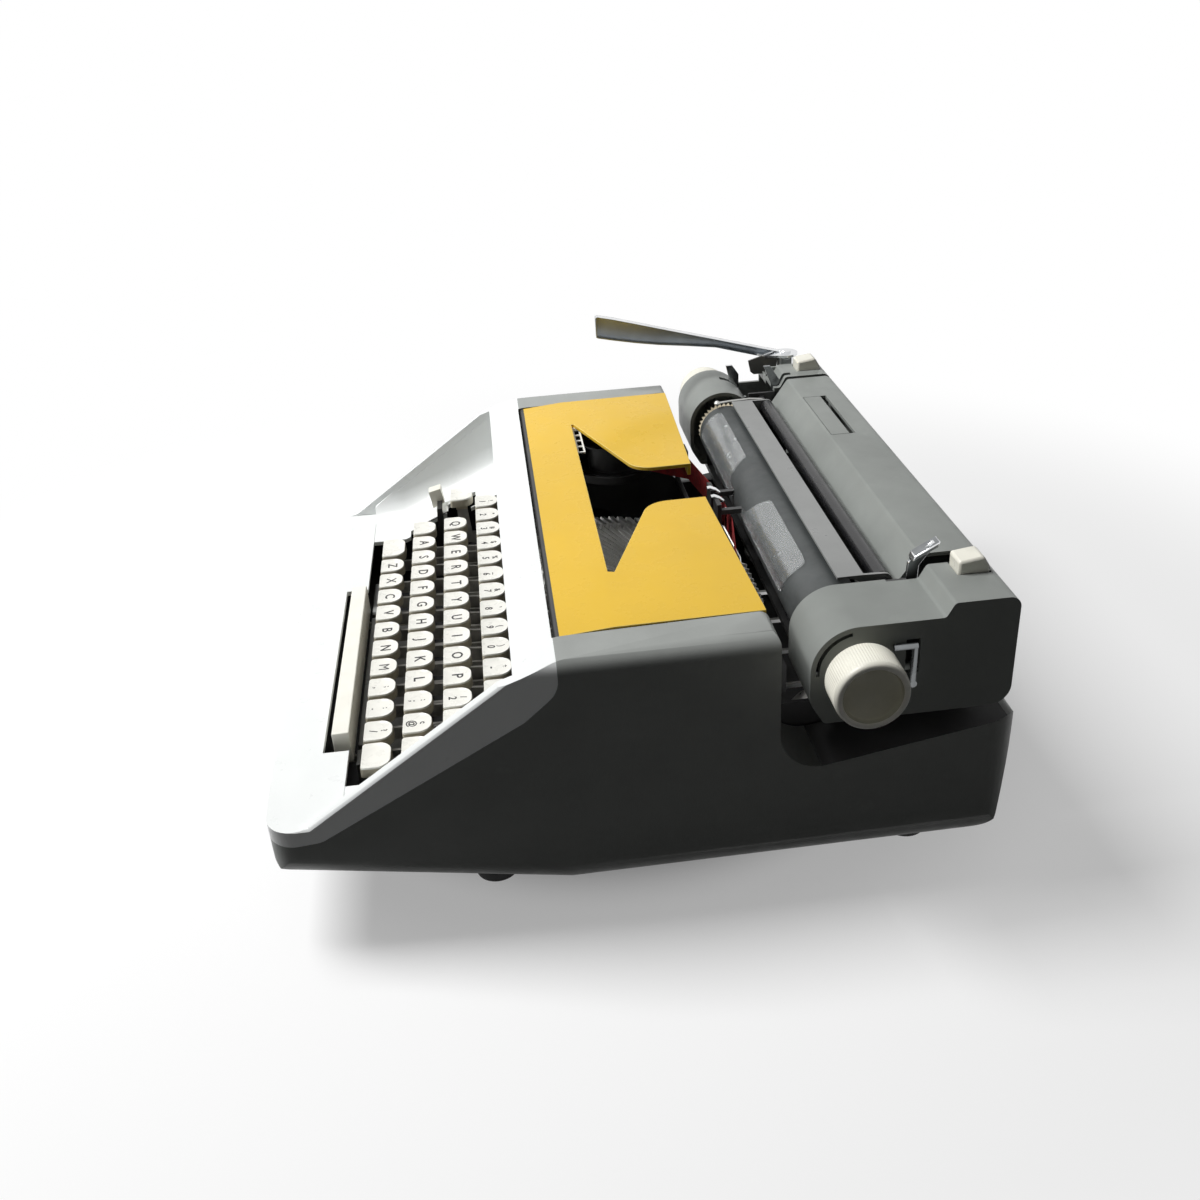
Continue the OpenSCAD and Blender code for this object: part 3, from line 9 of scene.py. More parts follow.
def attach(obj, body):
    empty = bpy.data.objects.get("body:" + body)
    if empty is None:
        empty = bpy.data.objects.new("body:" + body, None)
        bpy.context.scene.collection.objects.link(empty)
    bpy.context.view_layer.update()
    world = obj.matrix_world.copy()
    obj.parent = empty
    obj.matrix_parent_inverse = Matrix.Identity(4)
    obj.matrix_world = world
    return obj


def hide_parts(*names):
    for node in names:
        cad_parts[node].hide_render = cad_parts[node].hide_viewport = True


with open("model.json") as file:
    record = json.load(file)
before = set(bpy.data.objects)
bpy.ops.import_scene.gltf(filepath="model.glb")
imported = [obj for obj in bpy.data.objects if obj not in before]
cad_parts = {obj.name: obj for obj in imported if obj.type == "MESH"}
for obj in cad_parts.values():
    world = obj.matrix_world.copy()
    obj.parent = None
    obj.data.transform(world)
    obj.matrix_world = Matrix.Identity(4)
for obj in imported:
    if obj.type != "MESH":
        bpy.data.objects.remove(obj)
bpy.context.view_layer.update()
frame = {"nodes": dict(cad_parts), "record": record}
nodes = frame["nodes"]
record = frame["record"]
scene = bpy.context.scene

# Lengths are millimetres in the CAD frame: +X typist's right, +Y back, +Z up. MM turns them into metres.
MM = 0.001
BODY_OF = {node: body for body, held in record["behaviour"]["bodies"].items() for node in held}

# Axis of the platen and the knobs
PLATEN_Y, PLATEN_Z = 90.1, 114.4


# Materials
class Mat:
    """A node material with short cuts for procedural detail."""

    def __init__(self, name, colour, rough, metal=0.0, coat=0.0, spec=0.5):
        self.m = bpy.data.materials.new(name)
        self.m.use_nodes = True
        self.t = self.m.node_tree
        self.n = self.t.nodes
        self.b = self.n["Principled BSDF"]
        self.b.inputs["Base Color"].default_value = (*colour, 1)
        self.b.inputs["Roughness"].default_value = rough
        self.b.inputs["Metallic"].default_value = metal
        self.b.inputs["Coat Weight"].default_value = coat
        self.b.inputs["Specular IOR Level"].default_value = spec
        self.colour = colour
        self.co = self.n.new("ShaderNodeTexCoord").outputs["Object"]

    def link(self, a, b):
        self.t.links.new(a, b)

    def noise(self, scale, detail, rough, stretch=None):
        n = self.n.new("ShaderNodeTexNoise")
        n.inputs["Scale"].default_value = scale
        n.inputs["Detail"].default_value = detail
        n.inputs["Roughness"].default_value = rough
        co = self.co
        if stretch:
            place = self.n.new("ShaderNodeMapping")
            place.inputs["Scale"].default_value = stretch
            self.link(co, place.inputs["Vector"])
            co = place.outputs["Vector"]
        self.link(co, n.inputs["Vector"])
        return n.outputs["Fac"]

    def ramp(self, fac, *stops):
        r = self.n.new("ShaderNodeValToRGB")
        for el, (place, colour) in zip(r.color_ramp.elements, stops):
            el.position = place
            el.color = (*colour, 1)
        self.link(fac, r.inputs["Fac"])
        return r.outputs["Color"]

    def vary(self, scale, dark, light):
        """Colour drifts a little over the surface."""
        lo = tuple(min(1, c * dark) for c in self.colour)
        hi = tuple(min(1, c * light) for c in self.colour)
        self.last = self.ramp(self.noise(scale, 5.0, 0.55), (0.35, lo), (0.65, hi))
        self.link(self.last, self.b.inputs["Base Color"])

    def stain(self, scale, colour, low, high, amount):
        """Thin dust or wear in patches over the varied colour."""
        mask = self.ramp(self.noise(scale, 8.0, 0.65), (low, (0, 0, 0)), (high, (amount,) * 3))
        mix = self.n.new("ShaderNodeMix")
        mix.data_type = "RGBA"
        self.link(mask, mix.inputs["Factor"])
        self.link(self.last, mix.inputs["A"])
        mix.inputs["B"].default_value = (*colour, 1)
        self.link(mix.outputs["Result"], self.b.inputs["Base Color"])

    def gloss(self, scale, low, high, stretch=None):
        """Roughness from low to high in patches."""
        fac = self.noise(scale, 5.0, 0.6, stretch)
        self.link(self.ramp(fac, (0.3, (low,) * 3), (0.7, (high,) * 3)), self.b.inputs["Roughness"])

    def bump(self, scale, strength, stretch=None):
        """Fine relief of a tenth of a millimetre."""
        b = self.n.new("ShaderNodeBump")
        b.inputs["Strength"].default_value = strength
        b.inputs["Distance"].default_value = 0.1 * MM
        self.link(self.noise(scale, 3.0, 0.5, stretch), b.inputs["Height"])
        self.link(b.outputs["Normal"], self.b.inputs["Normal"])


def make_mat(name, colour, rough, vary, gloss, bump=None, stain=None, sockets=None, **kind):
    """A material from its colour and roughness, and the settings of each layer of detail."""
    mat = Mat(name, colour, rough, **kind)
    for socket, value in (sockets or {}).items():
        mat.b.inputs[socket].default_value = value
    mat.vary(*vary)
    mat.gloss(*gloss)
    if stain:
        mat.stain(*stain)
    if bump:
        mat.bump(*bump)
    return mat.m


def grey_paint(name, colour, rough=0.36):
    return make_mat(
        name, colour, rough, coat=0.03, spec=0.12, sockets={"Coat Roughness": 0.3},
        vary=(18, 0.9, 1.08), gloss=(90, rough - 0.06, rough + 0.1), bump=(1400, 0.12),
        stain=(60, tuple(c * 1.5 for c in colour), 0.62, 0.8, 0.25))


# Paint
GREY = grey_paint("body_paint", (0.36, 0.375, 0.36))
CARRIAGE = grey_paint("carriage_paint", (0.27, 0.285, 0.27))
# A lighter grey on rounded edges, as a painted highlight
GREY_EDGE_HIGHLIGHT = grey_paint("grey_edge_painted_highlight", (0.37, 0.385, 0.37), 0.3)
WHITE = make_mat(
    "frame_paint", (0.86, 0.88, 0.87), 0.3, coat=0.2,
    vary=(14, 0.97, 1.02), gloss=(70, 0.25, 0.4), bump=(1400, 0.08),
    stain=(40, (0.74, 0.75, 0.72), 0.66, 0.85, 0.25))
YELLOW = make_mat(
    "cover_paint", (0.80, 0.51, 0.038), 0.3, coat=0.06, spec=0.2, sockets={"Coat Roughness": 0.12},
    vary=(9, 0.95, 1.04), gloss=(60, 0.22, 0.36), bump=(1100, 0.06),
    stain=(35, (0.78, 0.44, 0.05), 0.66, 0.85, 0.1))
# A paler yellow on the cover's rounded edges, as a painted highlight
YELLOW_EDGE_HIGHLIGHT = make_mat(
    "cover_edge_painted_highlight", (0.92, 0.70, 0.20), 0.28, spec=0.3,
    vary=(40, 0.92, 1.04), gloss=(60, 0.2, 0.36), bump=(1100, 0.06))
# Near black for the body's inside faces, as painted shade
INSIDE_SHADE = make_mat(
    "inside_painted_shade", (0.016, 0.016, 0.016), 0.7,
    vary=(30, 0.6, 1.5), gloss=(60, 0.6, 0.85), bump=(900, 0.15))
# Black paint on parts that are black, and also painted shade on the bottom plate's top, the cover's front strip, the
# side frames and the dark line beside the selector strip
BLACK_PAINT_AND_SHADE = make_mat(
    "black_paint", (0.012, 0.012, 0.012), 0.42,
    vary=(40, 0.6, 1.6), gloss=(60, 0.32, 0.58), bump=(900, 0.1))
PLATE = make_mat(
    "grey_plate", (0.26, 0.265, 0.26), 0.33,
    vary=(22, 0.92, 1.06), gloss=(80, 0.26, 0.44), bump=(1300, 0.08))
FLOORPLATE = make_mat(
    "inner_plate", (0.115, 0.113, 0.105), 0.5,
    vary=(40, 0.8, 1.15), gloss=(80, 0.4, 0.65), bump=(900, 0.12),
    stain=(90, (0.2, 0.18, 0.14), 0.58, 0.75, 0.4))

# Plastic and ink
KEYTOP = make_mat(
    "key_top", (0.86, 0.85, 0.79), 0.28,
    vary=(120, 0.95, 1.03), gloss=(160, 0.22, 0.38), bump=(2600, 0.05),
    stain=(220, (0.62, 0.55, 0.42), 0.66, 0.8, 0.25))
# Key sides: a darker, browner copy of the key top colour, as painted shade on the skirts and stems; the patches over
# it are dirt
SHADED_KEY_SIDE = make_mat(
    "key_side_painted_shade", (0.50, 0.46, 0.36), 0.42,
    vary=(150, 0.88, 1.08), gloss=(160, 0.35, 0.55), bump=(2600, 0.08),
    stain=(240, (0.24, 0.20, 0.14), 0.6, 0.78, 0.35))
IVORY = make_mat(
    "ivory_plastic", (0.86, 0.84, 0.74), 0.33,
    vary=(70, 0.94, 1.04), gloss=(120, 0.27, 0.42), bump=(2200, 0.06),
    stain=(150, (0.45, 0.38, 0.26), 0.64, 0.8, 0.3))
BARTOP = make_mat(
    "bar_plastic", (0.90, 0.885, 0.80), 0.33,
    vary=(70, 0.96, 1.03), gloss=(120, 0.27, 0.42), bump=(2200, 0.06),
    stain=(150, (0.6, 0.54, 0.40), 0.68, 0.85, 0.2))
# The knobs' hollow outer face: the ivory made darker and browner, as painted shade
SHADED_KNOB_FACE = make_mat(
    "knob_face_painted_shade", (0.40, 0.385, 0.29), 0.5,
    vary=(60, 0.9, 1.08), gloss=(90, 0.4, 0.6), bump=(2200, 0.05))
BEIGE = make_mat(
    "ratchet_beige", (0.44, 0.39, 0.29), 0.5,
    vary=(90, 0.85, 1.1), gloss=(110, 0.4, 0.65), bump=(1800, 0.1))
CLEAR = make_mat(
    "clear_plastic", (0.90, 0.93, 0.93), 0.12,
    sockets={"Transmission Weight": 0.9, "IOR": 1.45, "Alpha": 0.55},
    vary=(60, 0.95, 1.03), gloss=(120, 0.08, 0.3), bump=(700, 0.04))
INK = make_mat(
    "legend_ink", (0.012, 0.012, 0.013), 0.45,
    vary=(600, 0.8, 1.3), gloss=(500, 0.35, 0.6))

# Metal
TYPE = make_mat(
    "type_steel", (0.92, 0.92, 0.90), 0.42, metal=1.0,
    vary=(90, 0.9, 1.08), gloss=(90, 0.36, 0.5), bump=(1200, 0.06),
    stain=(160, (0.40, 0.38, 0.36), 0.62, 0.8, 0.3))
SHEET = make_mat(
    "lever_sheet", (0.30, 0.34, 0.38), 0.42, metal=0.4,
    vary=(50, 0.85, 1.08), gloss=(60, 0.36, 0.5, (1, 6, 1)), bump=(500, 0.04))
# Dark steel for the card holders' clips, and painted shade on the carriage rails
DARK_STEEL_AND_SHADE = make_mat(
    "dark_steel_and_painted_shade", (0.05, 0.05, 0.05), 0.45, metal=0.3,
    vary=(60, 0.7, 1.3), gloss=(60, 0.35, 0.6), bump=(900, 0.08))
STEEL = make_mat(
    "steel", (0.50, 0.50, 0.48), 0.34, metal=1.0,
    vary=(60, 0.75, 1.1), gloss=(40, 0.24, 0.5, (1, 1, 14)), bump=(900, 0.1, (1, 1, 10)))
LEVER = make_mat(
    "lever_steel", (0.46, 0.45, 0.42), 0.42, metal=0.85,
    vary=(90, 0.7, 1.15), gloss=(90, 0.3, 0.6), bump=(900, 0.1),
    stain=(130, (0.12, 0.09, 0.06), 0.58, 0.75, 0.5))
CHROME = make_mat(
    "chrome", (0.78, 0.79, 0.80), 0.09, metal=1.0,
    vary=(50, 0.9, 1.05), gloss=(130, 0.05, 0.2), bump=(500, 0.03))
PLATED = make_mat(
    "plated_steel", (0.22, 0.23, 0.235), 0.3, metal=1.0,
    vary=(60, 0.8, 1.15), gloss=(90, 0.22, 0.4), bump=(700, 0.04))
BRASS = make_mat(
    "brass", (0.62, 0.43, 0.16), 0.3, metal=1.0,
    vary=(70, 0.8, 1.1), gloss=(90, 0.2, 0.45), bump=(900, 0.06))

# Rubber and cloth
RUBBER = make_mat(
    "platen_rubber", (0.045, 0.050, 0.050), 0.55,
    vary=(30, 0.8, 1.15), gloss=(80, 0.45, 0.7), bump=(1600, 0.15),
    stain=(110, (0.10, 0.105, 0.10), 0.6, 0.8, 0.4))
ROLLER = make_mat(
    "roller_rubber", (0.010, 0.010, 0.011), 0.22,
    vary=(60, 0.7, 1.5), gloss=(90, 0.15, 0.35), bump=(900, 0.06))
FOOT = make_mat(
    "foot_rubber", (0.014, 0.014, 0.014), 0.7,
    vary=(80, 0.7, 1.4), gloss=(90, 0.6, 0.85), bump=(1200, 0.3))
RIBBON = make_mat(
    "ribbon_cloth", (0.30, 0.012, 0.014), 0.8,
    vary=(300, 0.6, 1.2), gloss=(400, 0.7, 0.95), bump=(3000, 0.5))


# Building blocks
def shade_smooth(me, degrees):
    """Smooth faces, with sharp edges where they meet at degrees or more."""
    for p in me.polygons:
        p.use_smooth = True
    bm = bmesh.new()
    bm.from_mesh(me)
    limit = math.radians(degrees)
    for e in bm.edges:
        e.smooth = len(e.link_faces) == 2 and e.calc_face_angle(0) < limit
    bm.to_mesh(me)
    bm.free()


def new_piece(name, bm, mats, body, replaces=(), sharp=None):
    """An object from bm that rides on a body; its faces are flat where no angle for sharp edges is given."""
    me = bpy.data.meshes.new(name)
    bmesh.ops.recalc_face_normals(bm, faces=bm.faces)
    bm.to_mesh(me)
    bm.free()
    for m in mats:
        me.materials.append(m)
    ob = bpy.data.objects.new(name, me)
    scene.collection.objects.link(ob)
    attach(ob, body)
    if replaces:
        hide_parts(*replaces)
    if sharp:
        shade_smooth(me, sharp)
    return ob


def ring(bm, points):
    """Vertices at points in mm."""
    return [bm.verts.new((x * MM, y * MM, z * MM)) for x, y, z in points]


def bridge(bm, rings):
    """Quads from each closed ring of vertices to the next."""
    n = len(rings[0])
    return [bm.faces.new((a[i], a[(i + 1) % n], b[(i + 1) % n], b[i]))
            for a, b in zip(rings, rings[1:]) for i in range(n)]


def loft(bm, rings, mat=0):
    """A closed solid through rings of vertices."""
    faces = [bm.faces.new(list(reversed(rings[0]))), bm.faces.new(rings[-1])] + bridge(bm, rings)
    for f in faces:
        f.material_index = mat


def plate(bm, x, t, outline, mat=0):
    """Plate of thickness t across x, with an outline of (y, z) points."""
    loft(bm, [ring(bm, [(x + s * t / 2, y, z) for y, z in outline]) for s in (-1, 1)], mat)


def slab(bm, outline, z0, z1):
    """Flat piece from z0 to z1, with an outline of (x, y) points."""
    loft(bm, [ring(bm, [(x, y, z) for x, y in outline]) for z in (z0, z1)])


def bar(bm, x0, x1, y0, y1, z0, z1):
    """Block between two corners."""
    slab(bm, [(x0, y0), (x1, y0), (x1, y1), (x0, y1)], z0, z1)


TURNED_SIDES, WIRE_SIDES = 28, 10


def turns(n):
    """Angles of n equal steps round a circle."""
    return [2 * math.pi * k / n for k in range(n)]


def turned(bm, x, y, profile):
    """Turned piece on a standing axis, with a profile of (radius, z) points."""
    loft(bm, [ring(bm, [(x + r * math.cos(a), y + r * math.sin(a), z) for a in turns(TURNED_SIDES)])
              for r, z in profile])


def tube(bm, points, r, mat=0):
    """Round wire through points."""
    points = [Vector(q) for q in points]
    last = len(points) - 1
    rings = []
    for i, q in enumerate(points):
        along = (points[min(i + 1, last)] - points[max(i - 1, 0)]).normalized()
        ref = Vector((1, 0, 0)) if abs(along.x) < 0.9 else Vector((0, 0, 1))
        a = (ref - along * ref.dot(along)).normalized()
        b = along.cross(a)
        rings.append(ring(bm, [q + (a * math.cos(w) + b * math.sin(w)) * r for w in turns(WIRE_SIDES)]))
    loft(bm, rings, mat)


def clean_mesh(node):
    """A copy of a CAD node's mesh with its flat faces joined."""
    bm = bmesh.new()
    bm.from_mesh(nodes[node].data)
    bmesh.ops.remove_doubles(bm, verts=bm.verts, dist=0.002 * MM)
    bmesh.ops.dissolve_limit(bm, angle_limit=math.radians(0.6), verts=bm.verts, edges=bm.edges)
    return bm


EDGE_ANGLE = 32


def dress(node, mat, width, other=None, where=None, cuts=(), edge=None):
    """Stands for a CAD node with the same shape and rounded edges.

    The material other goes where where(centre, normal) holds, edge goes on the rounded edges, and cuts are planes that
    split faces first.
    """
    bm = clean_mesh(node)
    for co, no in cuts:
        geom = bm.verts[:] + bm.edges[:] + bm.faces[:]
        bmesh.ops.bisect_plane(bm, geom=geom, plane_co=Vector(co) * MM, plane_no=no)
    if other:
        bm.normal_update()
        for f in bm.faces:
            f.material_index = int(where(f.calc_center_median() / MM, f.normal))
    mats = [m for m in (mat, other, edge) if m]
    ob = new_piece(node + "_look", bm, mats, BODY_OF[node], [node], sharp=EDGE_ANGLE)
    bevel = ob.modifiers.new("edge", "BEVEL")
    bevel.width = width * MM
    bevel.segments = 2
    bevel.limit_method = "ANGLE"
    bevel.angle_limit = math.radians(EDGE_ANGLE)
    if edge:
        bevel.material = len(mats) - 1


def paint_node(node, mat):
    me = nodes[node].data
    me.materials.clear()
    me.materials.append(mat)


# CAD nodes with rounded edges
for name, mat, width in [
    ("keyboard_frame", WHITE, 1.0), ("paper_support", CARRIAGE, 0.25), ("paper_bail", PLATE, 0.3),
    ("space_bar", BARTOP, 1.2), ("left_margin_key", IVORY, 1.2), ("right_margin_key", IVORY, 1.2),
    ("feet", FOOT, 1.0), ("platen", RUBBER, 0.5), ("line_space_lever", CHROME, 0.4),
    ("left_release_lever", PLATED, 0.4), ("spool_cups", BLACK_PAINT_AND_SHADE, 0.4), ("left_spool", BLACK_PAINT_AND_SHADE, 0.3),
    ("right_spool", BLACK_PAINT_AND_SHADE, 0.3), ("type_guide", BLACK_PAINT_AND_SHADE, 0.3), ("carriage_frame", BLACK_PAINT_AND_SHADE, 0.4),
    ("ribbon_vibrator", CHROME, 0.25),
]:
    dress(name, mat, width)

# Their rounded edges get a lighter grey as a painted highlight
for name, width in [("left_end_cover", 1.0), ("right_end_cover", 1.0), ("top_cover", 0.6)]:
    dress(name, CARRIAGE, width, edge=GREY_EDGE_HIGHLIGHT)
# The bottom plate's upward faces are black as painted shade, so the gap above it stays dark; its underside is steel
dress("bottom_plate", STEEL, 0.3, other=BLACK_PAINT_AND_SHADE, where=lambda c, n: n.z > 0.5)
dress("paper_release_lever", PLATED, 0.4, edge=CHROME)
dress("front_cross_plate", FLOORPLATE, 0.4, other=PLATE, where=lambda c, n: n.z > 0.7 and c.z > 49)

# Faces of the body that look to its middle, short of the outer walls, are its inside, painted near black as painted
# shade
BODY_MIDDLE, OUTER_X = Vector((0, 20, 62)), 159.8
# The body's rounded edges get a lighter grey as a painted highlight
dress("lower_body", GREY, 0.8, other=INSIDE_SHADE, edge=GREY_EDGE_HIGHLIGHT,
      where=lambda c, n: n.dot(c - BODY_MIDDLE) < 0 and abs(c.x) < OUTER_X)

# The cover is black below, and on the strip in front of this line as a painted shadow line along its hinge seam
COVER_FRONT_Y = -30.1
# Its rounded edges get a paler yellow as a painted highlight
dress("ribbon_cover", YELLOW, 0.5, other=BLACK_PAINT_AND_SHADE, edge=YELLOW_EDGE_HIGHLIGHT,
      where=lambda c, n: c.y < COVER_FRONT_Y or n.z < -0.3,
      cuts=[((0, COVER_FRONT_Y, 0), (0, 1, 0))])

# The selector's ivory button ends here, and its arm is black
BUTTON_END_X = -133.15
dress("colour_selector", IVORY, 0.5, other=BLACK_PAINT_AND_SHADE, where=lambda c, n: c.x > BUTTON_END_X + 0.05,
      cuts=[((BUTTON_END_X, 0, 0), (1, 0, 0))])

for name, mat in [
    # The side frames are black as painted shade, where they stand in shadow
    ("bottom_screws", STEEL), ("side_frames", BLACK_PAINT_AND_SHADE), ("key_comb", STEEL), ("key_pivot_rod", STEEL),
    # The carriage rails take dark steel as painted shade, where they stand in shadow
    ("carriage_rails", DARK_STEEL_AND_SHADE), ("ribbon", RIBBON), ("bell", STEEL), ("hinge_pins", STEEL),
    ("segment", BLACK_PAINT_AND_SHADE), ("typebars", TYPE), ("lone_typebar", TYPE), ("mainspring_drum", STEEL),
    ("escape_wheel", BRASS), ("paper_table", STEEL), ("front_feed_roller", ROLLER),
    ("rear_feed_roller", ROLLER), ("platen_shaft", STEEL), ("line_ratchet", BEIGE),
    ("rear_paper_roller", ROLLER), ("right_release_lever", PLATED),
]:
    paint_node(name, mat)

# Keys, in rows from the rear to the front
PITCH, KEY_X0 = 19.05, -90.5
ROW_DEPTH, ROW_FALL = 19.4, 8.3
ROW_Y = [-58.4 - ROW_DEPTH * r for r in range(4)]
ROW_Z = [88.4 - ROW_FALL * r for r in range(4)]
# Sideways place of each row's first key, in pitches
ROW_STEP = [-0.5, 0, 0.25, 0.75]
# Height of the levers at their keys, and the axis on which they turn
LEVER_Z = [62 - 4.6 * r for r in range(4)]
PIVOT_Y, PIVOT_Z = 45.0, 46.0
# Outline of a cap, its height, and how far below its top the stem ends
KEY_W, KEY_FRONT, KEY_REAR = 15.8, -6.5, 6.9
FRONT_R, REAR_R = 1.6, 6.4
CAP_H, STEM_DROP = 5.0, 4.9
# The backspace key stands further back and higher than its row
BACKSPACE_SHIFT = (4.1, 3.9)
# Row and place of the letter key that has its own node and typebar
LONE_ROW, LONE = 2, 5
LEGENDS = [
    ["1!", '2"', "3#", "4$", "5%", "6_", "7&", "8'", "9(", "0)", "-*", "=+"],
    ["Q", "W", "E", "R", "T", "Y", "U", "I", "O", "P", "2/"],
    ["A", "S", "D", "F", "G", "H", "J", "K", "L", ";:", "@c", ""],
    ["Z", "X", "C", "V", "B", "N", "M", ",;", ".:", "/?"],
]


def tombstone(w):
    """Outline of a key top: straight front edge, arched rear, anticlockwise from the front left."""
    points = []
    for cx, cy, r, start, n in [
        (-w / 2 + FRONT_R, KEY_FRONT + FRONT_R, FRONT_R, 180, 5),
        (w / 2 - FRONT_R, KEY_FRONT + FRONT_R, FRONT_R, 270, 5),
        (w / 2 - REAR_R, KEY_REAR - REAR_R, REAR_R, 0, 9),
        (-w / 2 + REAR_R, KEY_REAR - REAR_R, REAR_R, 90, 9),
    ]:
        for i in range(n):
            a = math.radians(start + 90 * i / (n - 1))
            points.append((cx + r * math.cos(a), cy + r * math.sin(a)))
    return points


def dish(y):
    """Height of the hollow key top at y from the key's middle."""
    return -0.7 * max(0.0, 1 - (y / 7.2) ** 2)


def add_cap(bm, x, y, z, w):
    out = tombstone(w)
    # Skirt and rim: share of the outline and depth below the top
    rings = [ring(bm, [(x + px * share, y + py * share, z - low) for px, py in out])
             for share, low in [(1.03, CAP_H), (1.02, CAP_H / 2), (1.0, 0.9), (0.99, 0.35), (0.965, 0.06)]]
    for share in (0.90, 0.78, 0.6, 0.38, 0.16):
        hollow = min(1, (0.93 - share) * 9 + 0.25)
        rings.append(ring(bm, [(x + px * share, y + py * share, z + dish(py * share) * hollow) for px, py in out]))
    # The skirt and underside take the darker key-side colour, which is painted shade
    skirt = bridge(bm, rings)[:2 * len(out)]
    bm.faces.new(rings[-1])
    for f in skirt + [bm.faces.new(list(reversed(rings[0])))]:
        f.material_index = 1


def add_lever(bm, x, y, z, lever_z):
    plate(bm, x, 1.6, [
        (y - 3, lever_z - 3.5), (PIVOT_Y - 4, PIVOT_Z - 3.2), (PIVOT_Y + 3, PIVOT_Z - 3),
        (PIVOT_Y + 4.4, PIVOT_Z), (PIVOT_Y + 3, PIVOT_Z + 3), (PIVOT_Y - 3, PIVOT_Z + 3.6),
        (y + 4.5, lever_z + 3.2), (y + 3, z - STEM_DROP), (y - 3, z - STEM_DROP)], 2)
    # The stem takes the darker key-side colour, which is painted shade
    plate(bm, x, 2.8, [
        (y - 3.4, z - 7.4), (y + 3.4, z - 7.4), (y + 3.4, z - STEM_DROP), (y - 3.4, z - STEM_DROP)], 1)


def glyph_mesh(char, size):
    cu = bpy.data.curves.new("glyph", "FONT")
    cu.body = char
    cu.size = size * MM
    cu.align_x = "CENTER"
    cu.align_y = "CENTER"
    cu.resolution_u = 3
    cu.extrude = 0.02 * MM
    # Bolder strokes, apart from the M, whose inner corners would cross
    cu.offset = (0 if char == "M" else 0.11) * MM
    ob = bpy.data.objects.new("glyph", cu)
    scene.collection.objects.link(ob)
    me = bpy.data.meshes.new_from_object(ob.evaluated_get(bpy.context.evaluated_depsgraph_get()))
    bpy.data.objects.remove(ob)
    bpy.data.curves.remove(cu)
    return me


def add_glyph(bm, char, size, x, y, z, dy):
    """A sign that lies in the hollow of a key top, dy behind the key's middle."""
    me = glyph_mesh(char, size)
    start = len(bm.verts)
    bm.from_mesh(me)
    bpy.data.meshes.remove(me)
    bm.verts.ensure_lookup_table()
    for v in bm.verts[start:]:
        gx, gy = v.co.x / MM, v.co.y / MM + dy
        v.co = Vector(((x + gx) * MM, (y + gy) * MM, (z + dish(gy) + 0.03) * MM + v.co.z))


def add_legend(bm, text, x, y, z):
    if len(text) == 1:
        add_glyph(bm, text, 7.6, x, y, z, 0)
    else:
        add_glyph(bm, text[0], 5.2, x, y, z, -2.3)
        add_glyph(bm, text[1], 4.2, x, y, z, 2.7)


def key_piece(name, node, r, keys):
    """Keys of row r; each has its x, width, lever's x and legend."""
    dy, dz = BACKSPACE_SHIFT if node == "backspace_key" else (0, 0)
    y, z = ROW_Y[r] + dy, ROW_Z[r] + dz
    bm = bmesh.new()
    for x, w, lever_x, _ in keys:
        add_cap(bm, x, y, z, w)
        add_lever(bm, lever_x, y, z, LEVER_Z[r])
    new_piece(name, bm, [KEYTOP, SHADED_KEY_SIDE, LEVER], BODY_OF[node], [node], sharp=40)
    marks = [(x, text) for x, _, _, text in keys if text]
    if marks:
        bm = bmesh.new()
        for x, text in marks:
            add_legend(bm, text, x, y, z)
        new_piece(name + "_legends", bm, [INK], BODY_OF[node])


def letter_key(r, k):
    x = KEY_X0 + (ROW_STEP[r] + k) * PITCH
    return x, KEY_W, x, LEGENDS[r][k]


for r, legends in enumerate(LEGENDS):
    row = [letter_key(r, k) for k in range(len(legends)) if (r, k) != (LONE_ROW, LONE)]
    key_piece("keys_row_%d" % (r + 1), "key_row_%d" % (r + 1), r, row)
key_piece("letter_key", "lone_letter_key", LONE_ROW, [letter_key(LONE_ROW, LONE)])
for node, r, x, w, lever_x in [
    ("left_shift_key", 3, -100, 23, -104.8), ("right_shift_key", 3, 115, 19.5, 114.3),
    ("shift_lock_key", 2, -106, 17, -109.5), ("backspace_key", 1, -124, 18.5, -118),
    ("tab_key", 1, 118.5, 18, 119.05),
]:
    key_piece(node + "_cap", node, r, [(x, w, lever_x, "")])

# Knobs with fine ribs and a hollow outer face: x, radius and whether the ring is ribbed. The hollow face is a darker
# copy of the ivory, as painted shade.
KNOB_PROFILE = [
    (170.0, 4.2, False), (170.0, 14.2, False), (171.2, 15.5, False), (171.8, 15.75, True), (184.6, 15.75, True),
    (185.6, 15.7, False), (187.2, 15.3, False), (187.9, 14.5, False), (188.0, 13.4, False), (187.4, 12.6, False),
    (185.6, 12.2, False), (185.2, 11.6, False), (185.2, 3.0, False)]
RIBS, PER_RIB, RIB_DEPTH = 84, 4, 0.42
FACE_X, FACE_R = 184, 12.7


def knob(node, side):
    bm = bmesh.new()
    rings = []
    for x, r, ribbed in KNOB_PROFILE:
        points = []
        for i, a in enumerate(turns(RIBS * PER_RIB)):
            groove = 0.5 - 0.5 * math.cos(2 * math.pi * i / PER_RIB)
            rr = r - RIB_DEPTH * groove if ribbed else r
            points.append((side * x, PLATEN_Y + rr * math.cos(a), PLATEN_Z + rr * math.sin(a)))
        rings.append(ring(bm, points))
    loft(bm, rings)
    for f in bm.faces:
        c = f.calc_center_median() / MM
        f.material_index = int(abs(c.x) > FACE_X and math.hypot(c.y - PLATEN_Y, c.z - PLATEN_Z) < FACE_R)
    new_piece(node + "_look", bm, [IVORY, SHADED_KNOB_FACE], "platen_unit", [node], sharp=50)


knob("left_knob", -1)
knob("right_knob", 1)

